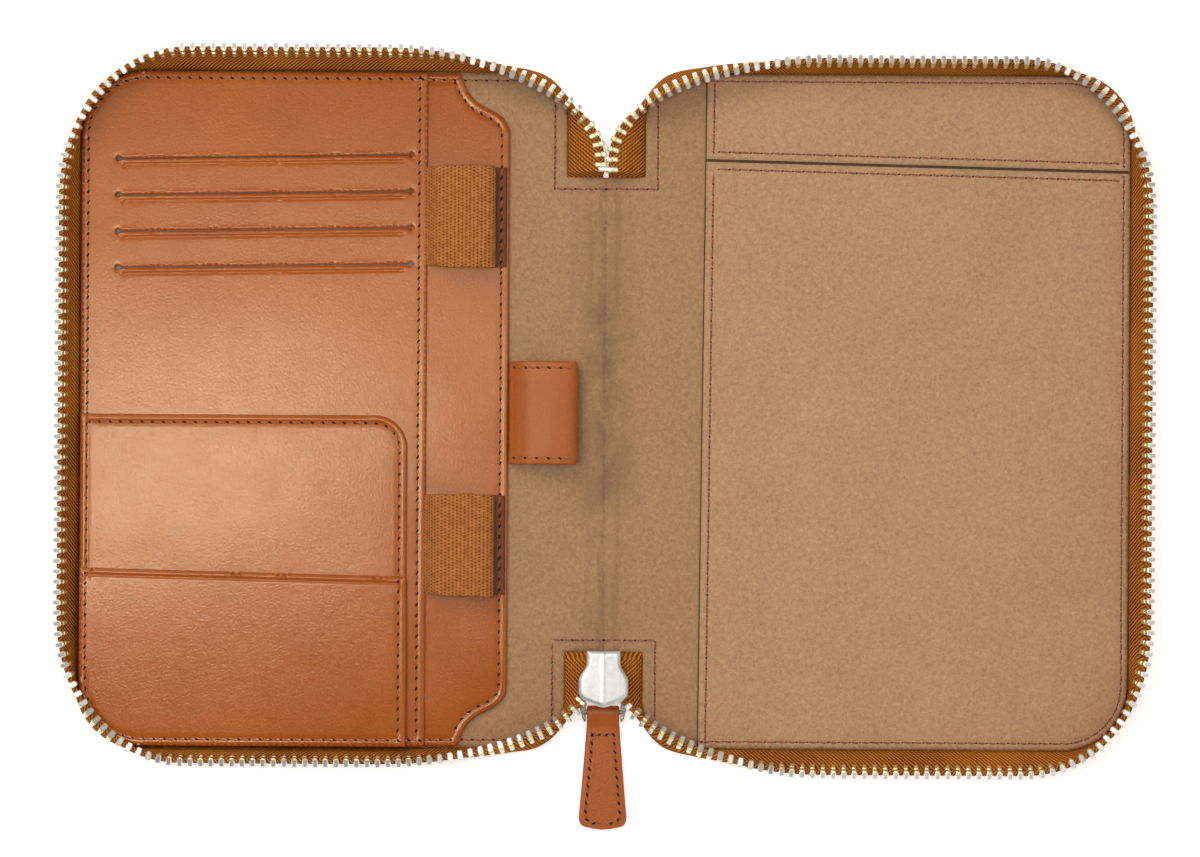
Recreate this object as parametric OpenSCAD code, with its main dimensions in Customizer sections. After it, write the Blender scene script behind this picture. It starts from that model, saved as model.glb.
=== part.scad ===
// Zip-round leather stationery case, lying open and flat with its lining up.
// X runs across the two covers, Y along the spine and Z up.
// The origin is the middle of the spine's underside. The left cover is drawn at +X and mirrored.

/* [Covers] */
// Fold line to the outer edge of one cover
cover_width = 149; // [144:0.5:154]
// Height of the covers, along the spine
cover_height = 207.2; // [204:0.2:212]
// Radius of the outer corners
corner_radius = 20; // [17:0.5:21]
// Radius of the small corners beside the notches
inner_corner_radius = 14; // [12:0.5:15]
// Width of the spine between the two fold lines
spine_width = 24; // [24:0.5:25]
// Fold axis to the floor of the notch at the top of the spine
notch_floor_top = 71.7; // [70:0.1:72]
// Fold axis to the floor of the notch at the bottom of the spine
notch_floor_bottom = 74; // [73:0.1:74.5]
// How far the outer leather stands out past the lining
leather_rim = 1.2; // [1.1:0.1:2]

/* [Thickness] */
// Outer leather
leather_t = 1.2; // [1:0.1:1.2]
// Cover board, and the zip tape sewn in beside it
core_t = 0.8; // [0.6:0.1:0.8]
// Suede lining and suede pocket panels
suede_t = 0.8; // [0.6:0.1:0.8]
// Pen strip
strip_t = 1.2; // [1.2:0.1:1.3]
// Card panel
panel_t = 1.2; // [1:0.1:1.2]
// Slip pockets
pocket_t = 1; // [0.8:0.1:1]

/* [Card panel] */
// Middle line of the case to the panel's free edge
panel_free_edge = 54.8; // [54:0.1:56]
// Middle line to the inner end of the card slits
slit_inner_end = 59.8; // [59.6:0.1:61]
// Length of a card slit
slit_length = 89.8; // [87:0.1:91]
// Width of a card slit
slit_width = 0.7; // [0.5:0.1:1]
// Height of the highest slit
slit_top_y = 78; // [76:0.5:80]
// Distance from one slit to the next
slit_pitch = 11.15; // [10:0.05:12]
// Fall of each slit towards the outer edge, in degrees
slit_fall = 1; // [0:0.1:1.4]
// Top edge of the rear slip pocket
rear_pocket_y = -1.8; // [-6:0.2:2]
// Top edge of the front slip pocket, at its middle
front_pocket_y = -50; // [-56:1:-40]
// Radius of the rear pocket's free corner
pocket_corner = 10; // [6:1:14]

/* [Loops] */
// Width of the elastic webbing
elastic_width = 31; // [28:0.5:32]
// Middle of the upper elastic loop
elastic_upper_y = 59.1; // [55:0.1:62]
// Middle of the lower elastic loop
elastic_lower_y = -41.4; // [-45:0.1:-38]
// Clear height inside the elastic loops
elastic_gap = 4.9; // [4.6:0.1:5.2]
// Width of the leather pen loop, along the spine
pen_loop_width = 31.5; // [26:0.5:34]
// Reach of the pen loop past the pen strip
pen_loop_reach = 20.5; // [19:0.1:21]
// Clear height inside the pen loop
pen_loop_gap = 4.8; // [4.6:0.1:5]

/* [Notebook pocket] */
// Middle line to the free edge of the pocket panel
notebook_edge = 30; // [27:0.5:33]
// Height of the pocket's slit, at its middle
notebook_slit_y = 75.6; // [70:0.2:80]
// Slope of the slit, in degrees
slit_slant = 1.3; // [0:0.1:1.6]
// Slope of the free edge, in degrees
edge_slant = 0.5; // [0:0.1:0.8]

/* [Zip] */
// Distance from one tooth to the next on one side
tooth_pitch = 3.17; // [3.1:0.01:3.6]
// Length of a tooth, across the tape
tooth_length = 4.8; // [4.4:0.1:4.9]
// Thickness of a tooth, along the tape
tooth_thickness = 1.3; // [1:0.05:1.35]
// Height of a tooth, through the tape
tooth_height = 2.6; // [2.2:0.1:2.8]
// Height of the chain above the floor, round the covers
chain_height = 10.8; // [10:0.1:11]
// Height of the chain above the floor, at the spine
chain_end_height = 6.4; // [6.3:0.1:6.5]
// How far the chain stands out past the covers at top and bottom
top_lean = 4.8; // [4.4:0.1:5.6]
// How far the chain stands out past the covers at the sides
side_lean = 5; // [4.4:0.1:6]

/* [Slider] */
// Width of the slider across its shoulders
slider_width = 15.2; // [14:0.1:15.4]
// Width of the slider's tail
slider_tail = 10.4; // [9:0.1:11]
// Diameter of the link's wire
wire_d = 1.6; // [1.4:0.1:1.7]
// Width of the pull tab at its free end
tab_end_width = 14.7; // [11:0.1:16]
// Length of the pull tab, wire to free end
tab_length = 36; // [28:0.5:45]

/* [Hidden] */
$fn = 64;

leather_color = "#b4693f";
suede_color = "#a5835f";
tape_color = "#9a5f22";
metal_color = "#cfcabd";
liner_color = "#6b4a33";

fold_x = spine_width / 2;
fold_gap = 0.15;
edge_x = fold_x + cover_width;
edge_y = cover_height / 2;
edge_inset = 0.4;

core_z = leather_t;
lining_z = core_z + core_t;
lining_top = lining_z + suede_t;
panel_z = lining_top + strip_t;
rear_z = panel_z + panel_t;
front_z = rear_z + pocket_t;
tiny = 0.01;
margin = 9;

// Zip tape: the flange sewn between leather and lining, then the wall up to the chain.
tape_t = core_t;
flange = 4;
flange_gap = 0.3;
wall_gap = 0.2;
wall_top = lining_top + 0.4;
wall_bend = 0.55;
tape_rings = 96;
cover_zip_start = 29;
cover_tooth_start = 30.2;
corner_zone = 100;
end_teeth_reach = 20.8;
end_tooth_y = 3.7;
chain_start_y = 72;
chain_rise = [19, 33];

// Chain line of one quarter: the closed stretch, a sweep to the top edge, then the corner.
chain_gap = 1.5;
chain_part_y = 77;
sweep = [66, edge_y + top_lean - chain_part_y];
corner_sweep = [40, 46];
chain_top = edge_y + top_lean;
chain_side = edge_x + side_lean;
arc_steps = 24;

function quarter_arc(c, r, from, to) =
  [for (k = [0:arc_steps]) let(a = from + (to - from) * k / arc_steps) c + [r.x * cos(a), r.y * sin(a)]];
function mirrored_back(p) = [for (i = [len(p) - 1:-1:0]) [p[i].x, -p[i].y]];
function whole(q) = concat(q, mirrored_back(q));
chain_path = whole(concat(
  [[chain_gap, chain_start_y]],
  quarter_arc([chain_gap + sweep.x, chain_part_y], sweep, 180, 90),
  quarter_arc([chain_side - corner_sweep.x, chain_top - corner_sweep.y], corner_sweep, 90, 0)
));
seam_path = whole(concat(
  [[fold_x, chain_start_y]],
  quarter_arc([fold_x + inner_corner_radius, edge_y - inner_corner_radius],
    [inner_corner_radius, inner_corner_radius], 180, 90),
  quarter_arc([edge_x - corner_radius, edge_y - corner_radius], [corner_radius, corner_radius], 90, 0)
));

// A path as rows of [distance run, x, y], and the point at any distance along it.
function run(p) = [for (i = 0, s = 0; i < len(p);
  s = i + 1 < len(p) ? s + norm(p[i + 1] - p[i]) : s, i = i + 1) [s, p[i].x, p[i].y]];
function rows(table, c) = [for (r = table) [r[0], r[c]]];
chain_run = run(chain_path);
chain_rows = [rows(chain_run, 1), rows(chain_run, 2)];
chain_length = chain_run[len(chain_run) - 1][0];
seam_run = run(seam_path);
seam_rows = [rows(seam_run, 1), rows(seam_run, 2)];
seam_length = seam_run[len(seam_run) - 1][0];
function at(table, s) = [lookup(s, table[0]), lookup(s, table[1])];
function heading(table, s) = let(d = at(table, s + 0.8) - at(table, s - 0.8)) d / norm(d);
function unit(v) = v / norm(v);
function smooth(u) = let(v = min(1, max(0, u))) v * v * (3 - 2 * v);
function from_end(s) = min(s, chain_length - s);
function chain_z(s) = chain_end_height + (chain_height - chain_end_height)
  * smooth((from_end(s) - chain_rise[0]) / (chain_rise[1] - chain_rise[0]));

// One station of the zip: seam point, outward direction there, bend point and tape edge.
function seam_at(s) = at(seam_rows, s * seam_length / chain_length);
function outward(s) = let(t = heading(seam_rows, s * seam_length / chain_length)) [-t.y, t.x];
function lift(p, z) = [p.x, p.y, z];
function tape_edge(s) = lift(at(chain_rows, s), chain_z(s));
function bend_offset(s) = let(
  wall = wall_gap + tape_t / 2,
  straight = wall + ((at(chain_rows, s) - seam_at(s)) * outward(s) - wall) * wall_bend
) from_end(s) > corner_zone ? max(wall, straight) : straight;
function bend_point(s) = lift(seam_at(s) + outward(s) * bend_offset(s),
  wall_top + (chain_z(s) - wall_top) * wall_bend);
function chain_tangent(s) = lift(heading(chain_rows, s), 0);
function rise(s) = let(t = chain_tangent(s), d = tape_edge(s) - bend_point(s)) unit(d - (d * t) * t);
function skin(s) = cross(rise(s), chain_tangent(s));

// The tape's cross-section at one station, up the inner face and down the outer one.
function tape_ring(s) = let(
  p = seam_at(s), n = outward(s), b = bend_point(s), e = tape_edge(s), q = skin(s) * tape_t / 2,
  half = lift(n, 0) * tape_t / 2
) [
  lift(p - n * flange, core_z + tape_t), lift(p + n * wall_gap, core_z + tape_t),
  lift(p + n * wall_gap, wall_top), b - half, e - q,
  e + q, b + half, lift(p + n * (wall_gap + tape_t), wall_top),
  lift(p + n * (wall_gap + tape_t), core_z), lift(p - n * flange, core_z)
];

module zip_tape() {
  rings = [for (i = [0:tape_rings])
    tape_ring(cover_zip_start + (chain_length - 2 * cover_zip_start) * i / tape_rings)];
  n = len(rings[0]);
  sides = [for (i = [0:tape_rings - 1], j = [0:n - 1])
    [i * n + j, i * n + (j + 1) % n, (i + 1) * n + (j + 1) % n, (i + 1) * n + j]];
  cap = [for (j = [0:n / 2 - 2]) [j, n - 1 - j, n - 2 - j, j + 1]];
  far_cap = [for (f = cap) [for (k = [3:-1:0]) f[k] + tape_rings * n]];
  color(tape_color) polyhedron([for (r = rings) each r], concat(sides, cap, far_cap));
}

module oriented(x, y, z, p) {
  multmatrix([[x.x, y.x, z.x, p.x], [x.y, y.y, z.y, p.y], [x.z, y.z, z.z, p.z], [0, 0, 0, 1]]) children();
}

module tooth() {
  cube([tooth_thickness, tooth_length, tooth_height], center = true);
}

// Teeth round a cover. phase shifts one side by half a pitch, so that the two sides mesh.
module cover_teeth(phase) {
  count = floor((chain_length - 2 * cover_tooth_start) / tooth_pitch);
  color(metal_color) for (i = [0:count - 1]) {
    s = cover_tooth_start + (i + phase) * tooth_pitch;
    oriented(chain_tangent(s), rise(s), cross(chain_tangent(s), rise(s)), tape_edge(s)) tooth();
  }
}

// Teeth at one end of the spine, lying flat and pointing at the middle line.
module end_teeth(floor_y) {
  start = floor_y + end_tooth_y - chain_start_y;
  count = floor((end_teeth_reach - start) / tooth_pitch + 0.5);
  color(metal_color) for (side = [0, 1], i = [0:count - 1]) {
    s = start + (i + side / 2) * tooth_pitch;
    t = chain_tangent(s);
    mirror([side, 0, 0])
      oriented(t, [-t.y, t.x, 0], [0, 0, 1], lift(at(chain_rows, s), chain_end_height)) tooth();
  }
}

// Tape at one end of the spine: flange under the lining, a ramp, and a flat wing on each side.
wing_in = 0.5;
wing_out = fold_x - 0.5;
wing_steps = 12;
wing_reach = 20.5;
ramp_run = 2.4;
ramp_foot = [0.2, 0.6];
ramp_lip = 1.5;
wing_trim = 2;
module end_tape(floor_y) {
  back = floor_y - flange;
  low = core_z;
  high = chain_end_height - tape_t / 2;
  wing = concat(
    [[wing_in, back], [wing_in, chain_start_y]],
    [for (k = [0:wing_steps]) at(chain_rows, wing_in + (wing_reach - wing_in) * k / wing_steps)],
    [[wing_out, at(chain_rows, wing_reach).y - wing_trim], [wing_out, back]]
  );
  profile = [
    [back, low], [floor_y + ramp_foot[1], low], [floor_y + ramp_run, high], [edge_y, high],
    [edge_y, high + tape_t], [floor_y + ramp_lip, high + tape_t],
    [floor_y + ramp_foot[0], low + tape_t], [back, low + tape_t]
  ];
  color(tape_color) for (side = [0, 1]) mirror([side, 0, 0]) intersection() {
    linear_extrude(high + 2 * tape_t) polygon(wing);
    rotate([90, 0, 90]) linear_extrude(fold_x) polygon(profile);
  }
}

// A small clamp across both tapes at the end of the chain.
stop_size = [6, 1.6, tooth_height];
stop_y = 2.2;
module zip_stop(floor_y) {
  color(metal_color) translate([0, floor_y + stop_y, chain_end_height]) cube(stop_size, center = true);
}

// Outline of a cover, grown outwards by g, and cut square at the fold line.
module cover_outline(g) {
  r_in = inner_corner_radius + g;
  r_out = corner_radius + g;
  x_in = fold_x + inner_corner_radius;
  x_out = edge_x - corner_radius;
  y_in = edge_y - inner_corner_radius;
  y_out = edge_y - corner_radius;
  intersection() {
    union() {
      translate([x_in, -edge_y - g]) square([x_out - x_in, 2 * (edge_y + g)]);
      translate([x_in - r_in, -y_in]) square([r_in + tiny, 2 * y_in]);
      translate([x_out - tiny, -y_out]) square([r_out + tiny, 2 * y_out]);
      for (s = [-1, 1]) {
        translate([x_in, s * y_in]) circle(r_in);
        translate([x_out, s * y_out]) circle(r_out);
      }
    }
    translate([fold_x + fold_gap, -edge_y - margin])
      square([cover_width + margin, cover_height + 2 * margin]);
  }
}

module outer_leather() {
  color(leather_color) linear_extrude(leather_t) cover_outline(leather_rim);
}

module board() {
  color(liner_color) translate([0, 0, core_z]) linear_extrude(core_t)
    cover_outline(-flange - flange_gap);
}

module lining() {
  color(suede_color) translate([0, 0, lining_z]) linear_extrude(suede_t) cover_outline(0);
}

module spine_sheet(y_low, y_high) {
  translate([-fold_x + fold_gap, -y_low]) square([spine_width - 2 * fold_gap, y_low + y_high]);
}

// The part of a cover's outline that lies beyond x, for panels sewn to the lining.
module panel_outline(x, tilt) {
  intersection() {
    cover_outline(-edge_inset);
    translate([x, 0]) rotate(tilt) translate([0, -edge_y - margin])
      square([cover_width, cover_height + 2 * margin]);
  }
}

// Everything below a line through [x, y] that slopes by tilt degrees.
module below(x, y, tilt) {
  translate([x, y]) rotate(tilt) translate([-3 * cover_width, -3 * cover_height])
    square([6 * cover_width, 3 * cover_height]);
}

slit_middle = (notebook_edge + edge_x) / 2;
notebook_slit = 0.7;
module notebook_sheet() {
  color(suede_color) translate([0, 0, lining_top]) linear_extrude(suede_t) intersection() {
    panel_outline(notebook_edge, -edge_slant);
    children();
  }
}

module notebook_pocket_panel() {
  notebook_sheet() below(slit_middle, notebook_slit_y - notebook_slit / 2, -slit_slant);
}

module notebook_pocket_band() {
  notebook_sheet() difference() {
    square(4 * edge_x, center = true);
    below(slit_middle, notebook_slit_y + notebook_slit / 2, -slit_slant);
  }
}

// Free edge of the pen strip: straight, with an S-shaped shoulder at each end.
strip_edge = 29.75;
strip_hidden_edge = 59;
shoulder_foot = [strip_edge, 84];
shoulder_head = [44.9, edge_y - edge_inset];
shoulder_mid = [36.1, 92.4];
shoulder_steps = 10;
shoulder_handle = [[0.15, 5.2], [3.5, 1.8], [4.9, 2], [1.9, 6]];
function bez(a, b, c, d, t) = a * pow(1 - t, 3) + 3 * b * t * pow(1 - t, 2)
  + 3 * c * t * t * (1 - t) + d * pow(t, 3);
shoulder = concat(
  [for (k = [0:shoulder_steps]) bez(shoulder_foot, shoulder_foot + shoulder_handle[0],
    shoulder_mid - shoulder_handle[1], shoulder_mid, k / shoulder_steps)],
  [for (k = [1:shoulder_steps]) bez(shoulder_mid, shoulder_mid + shoulder_handle[2],
    shoulder_head - shoulder_handle[3], shoulder_head, k / shoulder_steps)]
);
module pen_strip() {
  top = [strip_hidden_edge, edge_y - edge_inset];
  color(leather_color) translate([0, 0, lining_top]) linear_extrude(strip_t)
    polygon(concat(shoulder, [top, [top.x, -top.y]], mirrored_back(shoulder)));
}

slit_hole_r = 0.75;
groove_drop = 1.6;
groove_depth = 0.25;
groove_width = 0.5;
groove_short = 3;
module card_panel() {
  color(leather_color) difference() {
    translate([0, 0, panel_z]) linear_extrude(panel_t) panel_outline(panel_free_edge, 0);
    for (i = [0:3]) translate([slit_inner_end, slit_top_y - i * slit_pitch, 0]) rotate(-slit_fall) {
      translate([0, -slit_width / 2, panel_z - 1]) cube([slit_length, slit_width, margin]);
      for (x = [0, slit_length]) translate([x, 0, panel_z - 1]) cylinder(r = slit_hole_r, h = margin);
      translate([groove_short, -groove_drop, rear_z - groove_depth])
        cube([slit_length - 2 * groove_short, groove_width, margin]);
    }
  }
}

liner_t = strip_t / 4;
liner_depth = 56;
liner_end = 154;
liner_above_slit = 2;
liner_start_gap = 0.3;
module card_pocket_liner(i) {
  y = slit_top_y - (i - 1) * slit_pitch + liner_above_slit;
  x = strip_hidden_edge + liner_start_gap;
  color(liner_color) translate([x, y - liner_depth, lining_top + (i - 1) * liner_t])
    cube([liner_end - strip_hidden_edge, liner_depth, liner_t]);
}

pocket_free_edge = 60.5;
module slip_pocket_rear() {
  color(leather_color) translate([0, 0, rear_z]) linear_extrude(pocket_t) intersection() {
    panel_outline(pocket_free_edge, 0);
    union() {
      translate([pocket_free_edge, -cover_height])
        square([cover_width, cover_height + rear_pocket_y - pocket_corner]);
      translate([pocket_free_edge + pocket_corner, -cover_height])
        square([cover_width, cover_height + rear_pocket_y]);
      translate([pocket_free_edge + pocket_corner, rear_pocket_y - pocket_corner]) circle(pocket_corner);
    }
  }
}

module slip_pocket_front() {
  middle = (pocket_free_edge + edge_x) / 2;
  color(leather_color) translate([0, 0, front_z]) linear_extrude(pocket_t) intersection() {
    panel_outline(pocket_free_edge, 0);
    below(middle, front_pocket_y, slit_slant);
  }
}

// A flat band in the XZ plane bent into a loop with round ends, from x1 to x2, standing on z.
module band_loop(x1, x2, z, gap, wall, width) {
  r = gap / 2 + wall;
  rotate([90, 0, 0]) linear_extrude(width, center = true) difference() {
    union() {
      translate([x1 + r, z]) square([x2 - x1 - 2 * r, 2 * r]);
      for (x = [x1 + r, x2 - r]) translate([x, z + r]) circle(r);
    }
    translate([x1 + r, z + wall]) square([x2 - x1 - 2 * r, gap]);
    for (x = [x1 + r, x2 - r]) translate([x, z + r]) circle(gap / 2);
  }
}

elastic_wall = 0.9;
elastic_span = [34.2, 54.5];
elastic_tail = 30;
elastic_lap = 4;
module elastic_loop(y) {
  color(tape_color) translate([0, y, 0]) {
    band_loop(elastic_span[0], elastic_span[1], panel_z, elastic_gap, elastic_wall, elastic_width);
    translate([elastic_tail, -elastic_width / 2, panel_z])
      cube([elastic_span[0] + elastic_lap - elastic_tail, elastic_width, elastic_wall]);
  }
}

pen_loop_y = -0.75;
pen_loop_wall = 1.1;
pen_loop_root = 29.4;
pen_loop_lift = 0.3;
pen_loop_tail = 5.5;
pen_loop_lap = 1.4;
module pen_loop() {
  z = lining_top + pen_loop_lift;
  color(leather_color) translate([0, pen_loop_y, 0]) {
    band_loop(pen_loop_root - pen_loop_reach, pen_loop_root - pen_loop_lap, z, pen_loop_gap, pen_loop_wall,
      pen_loop_width);
    translate([pen_loop_root - pen_loop_tail, -pen_loop_width / 2, z])
      cube([pen_loop_tail, pen_loop_width, pen_loop_wall]);
  }
}

// Slider: two plates joined by a post at the nose, with a pierced lug under the outer plate.
slider_tail_y = 73.3;
slider_nose_y = 90.6;
slider_plate = [1.1, 1.2];
slider_gap = 0.3;
slider_low = chain_end_height - tooth_height / 2 - slider_gap - slider_plate[0];
slider_high = chain_end_height + tooth_height / 2 + slider_gap;
outer_plate_cut = 3.5;
post = [1.2, 88.3];
pivot_y = -86.9;
pivot_z = 2.2;
lug = [3.2, 3.4];
run_gap = 0.05;
module slider_outline() {
  w = slider_width / 2;
  t = slider_tail / 2;
  side = [[t, 0], [t + 0.1, -4.2], [t + 0.55, -5.9], [t + 1.4, -7.6], [w - 0.1, -9], [w, -9.6],
    [w, -13.2], [w - 0.5, -14.3], [w - 1.7, -15], [2.6, -16.7], [0.9, -17.3]];
  translate([0, -slider_tail_y])
    polygon(concat(side, [for (i = [len(side) - 1:-1:0]) [-side[i].x, side[i].y]]));
}
module slider_body() {
  color(metal_color) {
    translate([0, 0, slider_high]) linear_extrude(slider_plate[1]) slider_outline();
    translate([0, 0, slider_low]) linear_extrude(slider_plate[0]) intersection() {
      slider_outline();
      translate([-slider_width, -slider_nose_y - 1])
        square([2 * slider_width, slider_nose_y - slider_tail_y + 1 - outer_plate_cut]);
    }
    translate([0, -post[1], slider_low + tiny]) cylinder(r = post[0], h = slider_high - slider_low);
    difference() {
      union() {
        translate([-lug.x / 2, pivot_y - lug.y / 2, pivot_z])
          cube([lug.x, lug.y, slider_low - pivot_z + tiny]);
        translate([-lug.x / 2, pivot_y, pivot_z]) rotate([0, 90, 0]) cylinder(d = lug.y, h = lug.x);
      }
      translate([-lug.x, pivot_y, pivot_z]) rotate([0, 90, 0])
        cylinder(d = wire_d + 2 * run_gap, h = 2 * lug.x);
    }
  }
}

// Link: a ring of wire, one bar through the lug and the other through the tab.
link_width = 12.4;
link_length = 5.6;
bar_y = pivot_y - link_length;
module link_bar(from, to) {
  d = to - from;
  translate(from) rotate([0, 0, atan2(d.y, d.x)]) rotate([0, 90, 0]) cylinder(d = wire_d, h = norm(d));
}
module pull_link() {
  w = link_width / 2;
  corners = [[-w, pivot_y, pivot_z], [w, pivot_y, pivot_z], [w, bar_y, pivot_z], [-w, bar_y, pivot_z]];
  color(metal_color) {
    for (i = [0:3]) {
      link_bar(corners[i], corners[(i + 1) % 4]);
      translate(corners[i]) sphere(d = wire_d);
    }
  }
}

// Pull tab: a strap folded round the link's bar, widening to a round-cornered end.
tab_wall = 1.2;
tab_width = 9.6;
tab_t = 2.8;
tab_corner = 4;
tab_neck = 0.4;
tab_loop_d = wire_d + 2 * run_gap + 2 * tab_wall;
module pull_tab() {
  top_y = bar_y - tab_loop_d / 2 - tab_neck;
  end_y = bar_y - tab_length;
  w = tab_end_width / 2;
  color(leather_color) difference() {
    union() {
      translate([-tab_width / 2, bar_y, pivot_z]) rotate([0, 90, 0])
        cylinder(d = tab_loop_d, h = tab_width);
      translate([-tab_width / 2, top_y - 1, pivot_z - tab_t / 2])
        cube([tab_width, bar_y - top_y + 1, tab_t]);
      translate([0, 0, pivot_z - tab_t / 2]) linear_extrude(tab_t) {
        polygon([[-tab_width / 2, top_y], [tab_width / 2, top_y], [w, end_y + tab_corner],
          [w - tab_corner, end_y], [-w + tab_corner, end_y], [-w, end_y + tab_corner]]);
        for (s = [-1, 1]) translate([s * (w - tab_corner), end_y + tab_corner]) circle(tab_corner);
      }
    }
    translate([-tab_width, bar_y, pivot_z]) rotate([0, 90, 0])
      cylinder(d = wire_d + 2 * run_gap, h = 2 * tab_width);
  }
}

module spine_outer_leather() {
  color(leather_color) linear_extrude(leather_t) spine_sheet(notch_floor_bottom, notch_floor_top);
}

module spine_interlining() {
  back = flange + flange_gap;
  color(liner_color) translate([0, 0, core_z]) linear_extrude(core_t)
    spine_sheet(notch_floor_bottom - back, notch_floor_top - back);
}

module spine_lining() {
  color(suede_color) translate([0, 0, lining_z]) linear_extrude(suede_t)
    spine_sheet(notch_floor_bottom, notch_floor_top);
}

module left() {
  mirror([1, 0, 0]) children();
}

module low_end() {
  mirror([0, 1, 0]) children();
}

outer_leather();  // right_outer_leather
board();  // right_board
lining();  // right_lining
notebook_pocket_panel();
notebook_pocket_band();
zip_tape();  // right_zip_tape
cover_teeth(0);  // right_zip_teeth
spine_outer_leather();
spine_interlining();
spine_lining();
end_tape(notch_floor_top);  // zip_end_tape_top
low_end() end_tape(notch_floor_bottom);  // zip_end_tape_bottom
end_teeth(notch_floor_top);  // zip_end_teeth_top
low_end() end_teeth(notch_floor_bottom);  // zip_end_teeth_bottom
zip_stop(notch_floor_top);  // zip_top_stop
low_end() zip_stop(notch_floor_bottom);  // zip_bottom_stop
slider_body();
pull_link();
pull_tab();
left() outer_leather();  // left_outer_leather
left() board();  // left_board
left() lining();  // left_lining
left() pen_strip();
left() card_panel();
left() card_pocket_liner(1);  // card_pocket_liner_1
left() card_pocket_liner(2);  // card_pocket_liner_2
left() card_pocket_liner(3);  // card_pocket_liner_3
left() card_pocket_liner(4);  // card_pocket_liner_4
left() slip_pocket_rear();
left() slip_pocket_front();
left() elastic_loop(elastic_upper_y);  // elastic_loop_upper
left() elastic_loop(elastic_lower_y);  // elastic_loop_lower
left() zip_tape();  // left_zip_tape
left() cover_teeth(0.5);  // left_zip_teeth
left() pen_loop();
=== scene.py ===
"""Zip-round leather organiser case, lying open with its lining up. Lengths are in millimetres until put()."""
import math

import bpy
import numpy as np
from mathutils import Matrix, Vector
from mathutils.bvhtree import BVHTree
from mathutils.geometry import delaunay_2d_cdt


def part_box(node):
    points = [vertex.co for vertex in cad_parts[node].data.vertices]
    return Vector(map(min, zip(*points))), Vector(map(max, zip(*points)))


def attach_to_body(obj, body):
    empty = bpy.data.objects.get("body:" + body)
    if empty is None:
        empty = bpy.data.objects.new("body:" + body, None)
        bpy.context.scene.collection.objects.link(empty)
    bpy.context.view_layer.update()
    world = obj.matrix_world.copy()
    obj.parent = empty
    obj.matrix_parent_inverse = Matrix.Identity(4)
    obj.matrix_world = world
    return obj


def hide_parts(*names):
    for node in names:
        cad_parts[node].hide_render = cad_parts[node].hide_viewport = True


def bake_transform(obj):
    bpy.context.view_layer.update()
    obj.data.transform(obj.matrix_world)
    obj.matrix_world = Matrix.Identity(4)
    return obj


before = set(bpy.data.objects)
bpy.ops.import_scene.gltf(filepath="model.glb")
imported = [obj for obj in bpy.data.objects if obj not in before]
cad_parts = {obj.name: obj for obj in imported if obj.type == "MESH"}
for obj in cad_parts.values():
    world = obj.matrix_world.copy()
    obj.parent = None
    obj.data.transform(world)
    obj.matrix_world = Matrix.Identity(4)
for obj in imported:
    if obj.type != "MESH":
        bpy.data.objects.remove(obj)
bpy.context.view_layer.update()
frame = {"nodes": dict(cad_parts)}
nodes = frame["nodes"]
MM = 0.001
UV_MM = 100.0
LEFT, RIGHT = -1, 1


# ---- sizes, read from the frame
def node_box(name):
    low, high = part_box(name)
    return np.array(low) / MM, np.array(high) / MM


def top_z(node):
    return node_box(node)[1][2]


lining_box = node_box("right_lining")
EDGE_X, EDGE_Y, LINING_TOP = lining_box[1]
LINING_LOW = lining_box[0][2]
spine_box = node_box("spine_lining")
FLOOR_TOP, FLOOR_BOTTOM = spine_box[1][1], -spine_box[0][1]
SHELL_TOP = top_z("right_outer_leather")
STRIP_TOP, PANEL_TOP = top_z("pen_strip"), top_z("card_panel")
REAR_TOP, FRONT_TOP = top_z("slip_pocket_rear"), top_z("slip_pocket_front")
NOTE_TOP = top_z("notebook_pocket_panel")
CARD_EDGE = -node_box("card_panel")[1][0]
POCKET_EDGE = -node_box("slip_pocket_rear")[1][0]
# The half spine, the corner radii of a cover outside and beside the spine, and the leather's overhang.
FOLD, R_OUT, R_IN, RIM = 12.0, 20.0, 14.0, 1.0


# ---- small numeric helpers
def waves(x, y, size, seed):
    """Smooth, repeatable unevenness between about -1 and 1."""
    rng = np.random.default_rng(seed)
    total = np.zeros(np.broadcast(x, y).shape)
    for _ in range(7):
        a = rng.uniform(0, 2 * math.pi)
        k = 2 * math.pi / (size * rng.uniform(0.6, 1.8))
        total += np.sin(k * (np.cos(a) * x + np.sin(a) * y) + rng.uniform(0, 6.28))
    return total / 3.2


def bell(d, width):
    return np.exp(-((d / width) ** 2))


def smooth(u):
    u = np.clip(u, 0, 1)
    return u * u * (3 - 2 * u)


def quarter_round(u):
    """Rises from 0 to 1 along a quarter of a circle."""
    return np.sqrt(np.clip(1 - (1 - np.clip(u, 0, 1)) ** 2, 0, 1))


def rounding(d, r):
    """How far an edge of radius r has dropped, at a distance d from it."""
    return r * (1 - quarter_round(d / r))


def unit_circle(n):
    a = np.linspace(0, 2 * math.pi, n, endpoint=False)
    return np.cos(a), np.sin(a)


def unit(rows):
    return rows / (np.linalg.norm(rows, axis=1, keepdims=True) + 1e-9)


def left_of(t):
    """The 2-D directions t, turned 90 degrees to the left."""
    return np.stack([-t[:, 1], t[:, 0]], 1)


def arc(cx, cy, rx, ry, a0, a1, n):
    a = np.radians(np.linspace(a0, a1, n))
    return np.stack([cx + rx * np.cos(a), cy + ry * np.sin(a)], 1)


def bezier(a, b, c, d, n):
    t = np.linspace(0, 1, n)[:, None]
    a, b, c, d = (np.array(p, float) for p in (a, b, c, d))
    return a * (1 - t) ** 3 + 3 * b * t * (1 - t) ** 2 + 3 * c * t * t * (1 - t) + d * t**3


def join(*parts):
    out = [np.atleast_2d(np.array(parts[0], float))]
    for p in parts[1:]:
        p = np.atleast_2d(np.array(p, float))
        out.append(p[1:] if np.allclose(out[-1][-1], p[0], atol=1e-6) else p)
    return np.concatenate(out)


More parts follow.
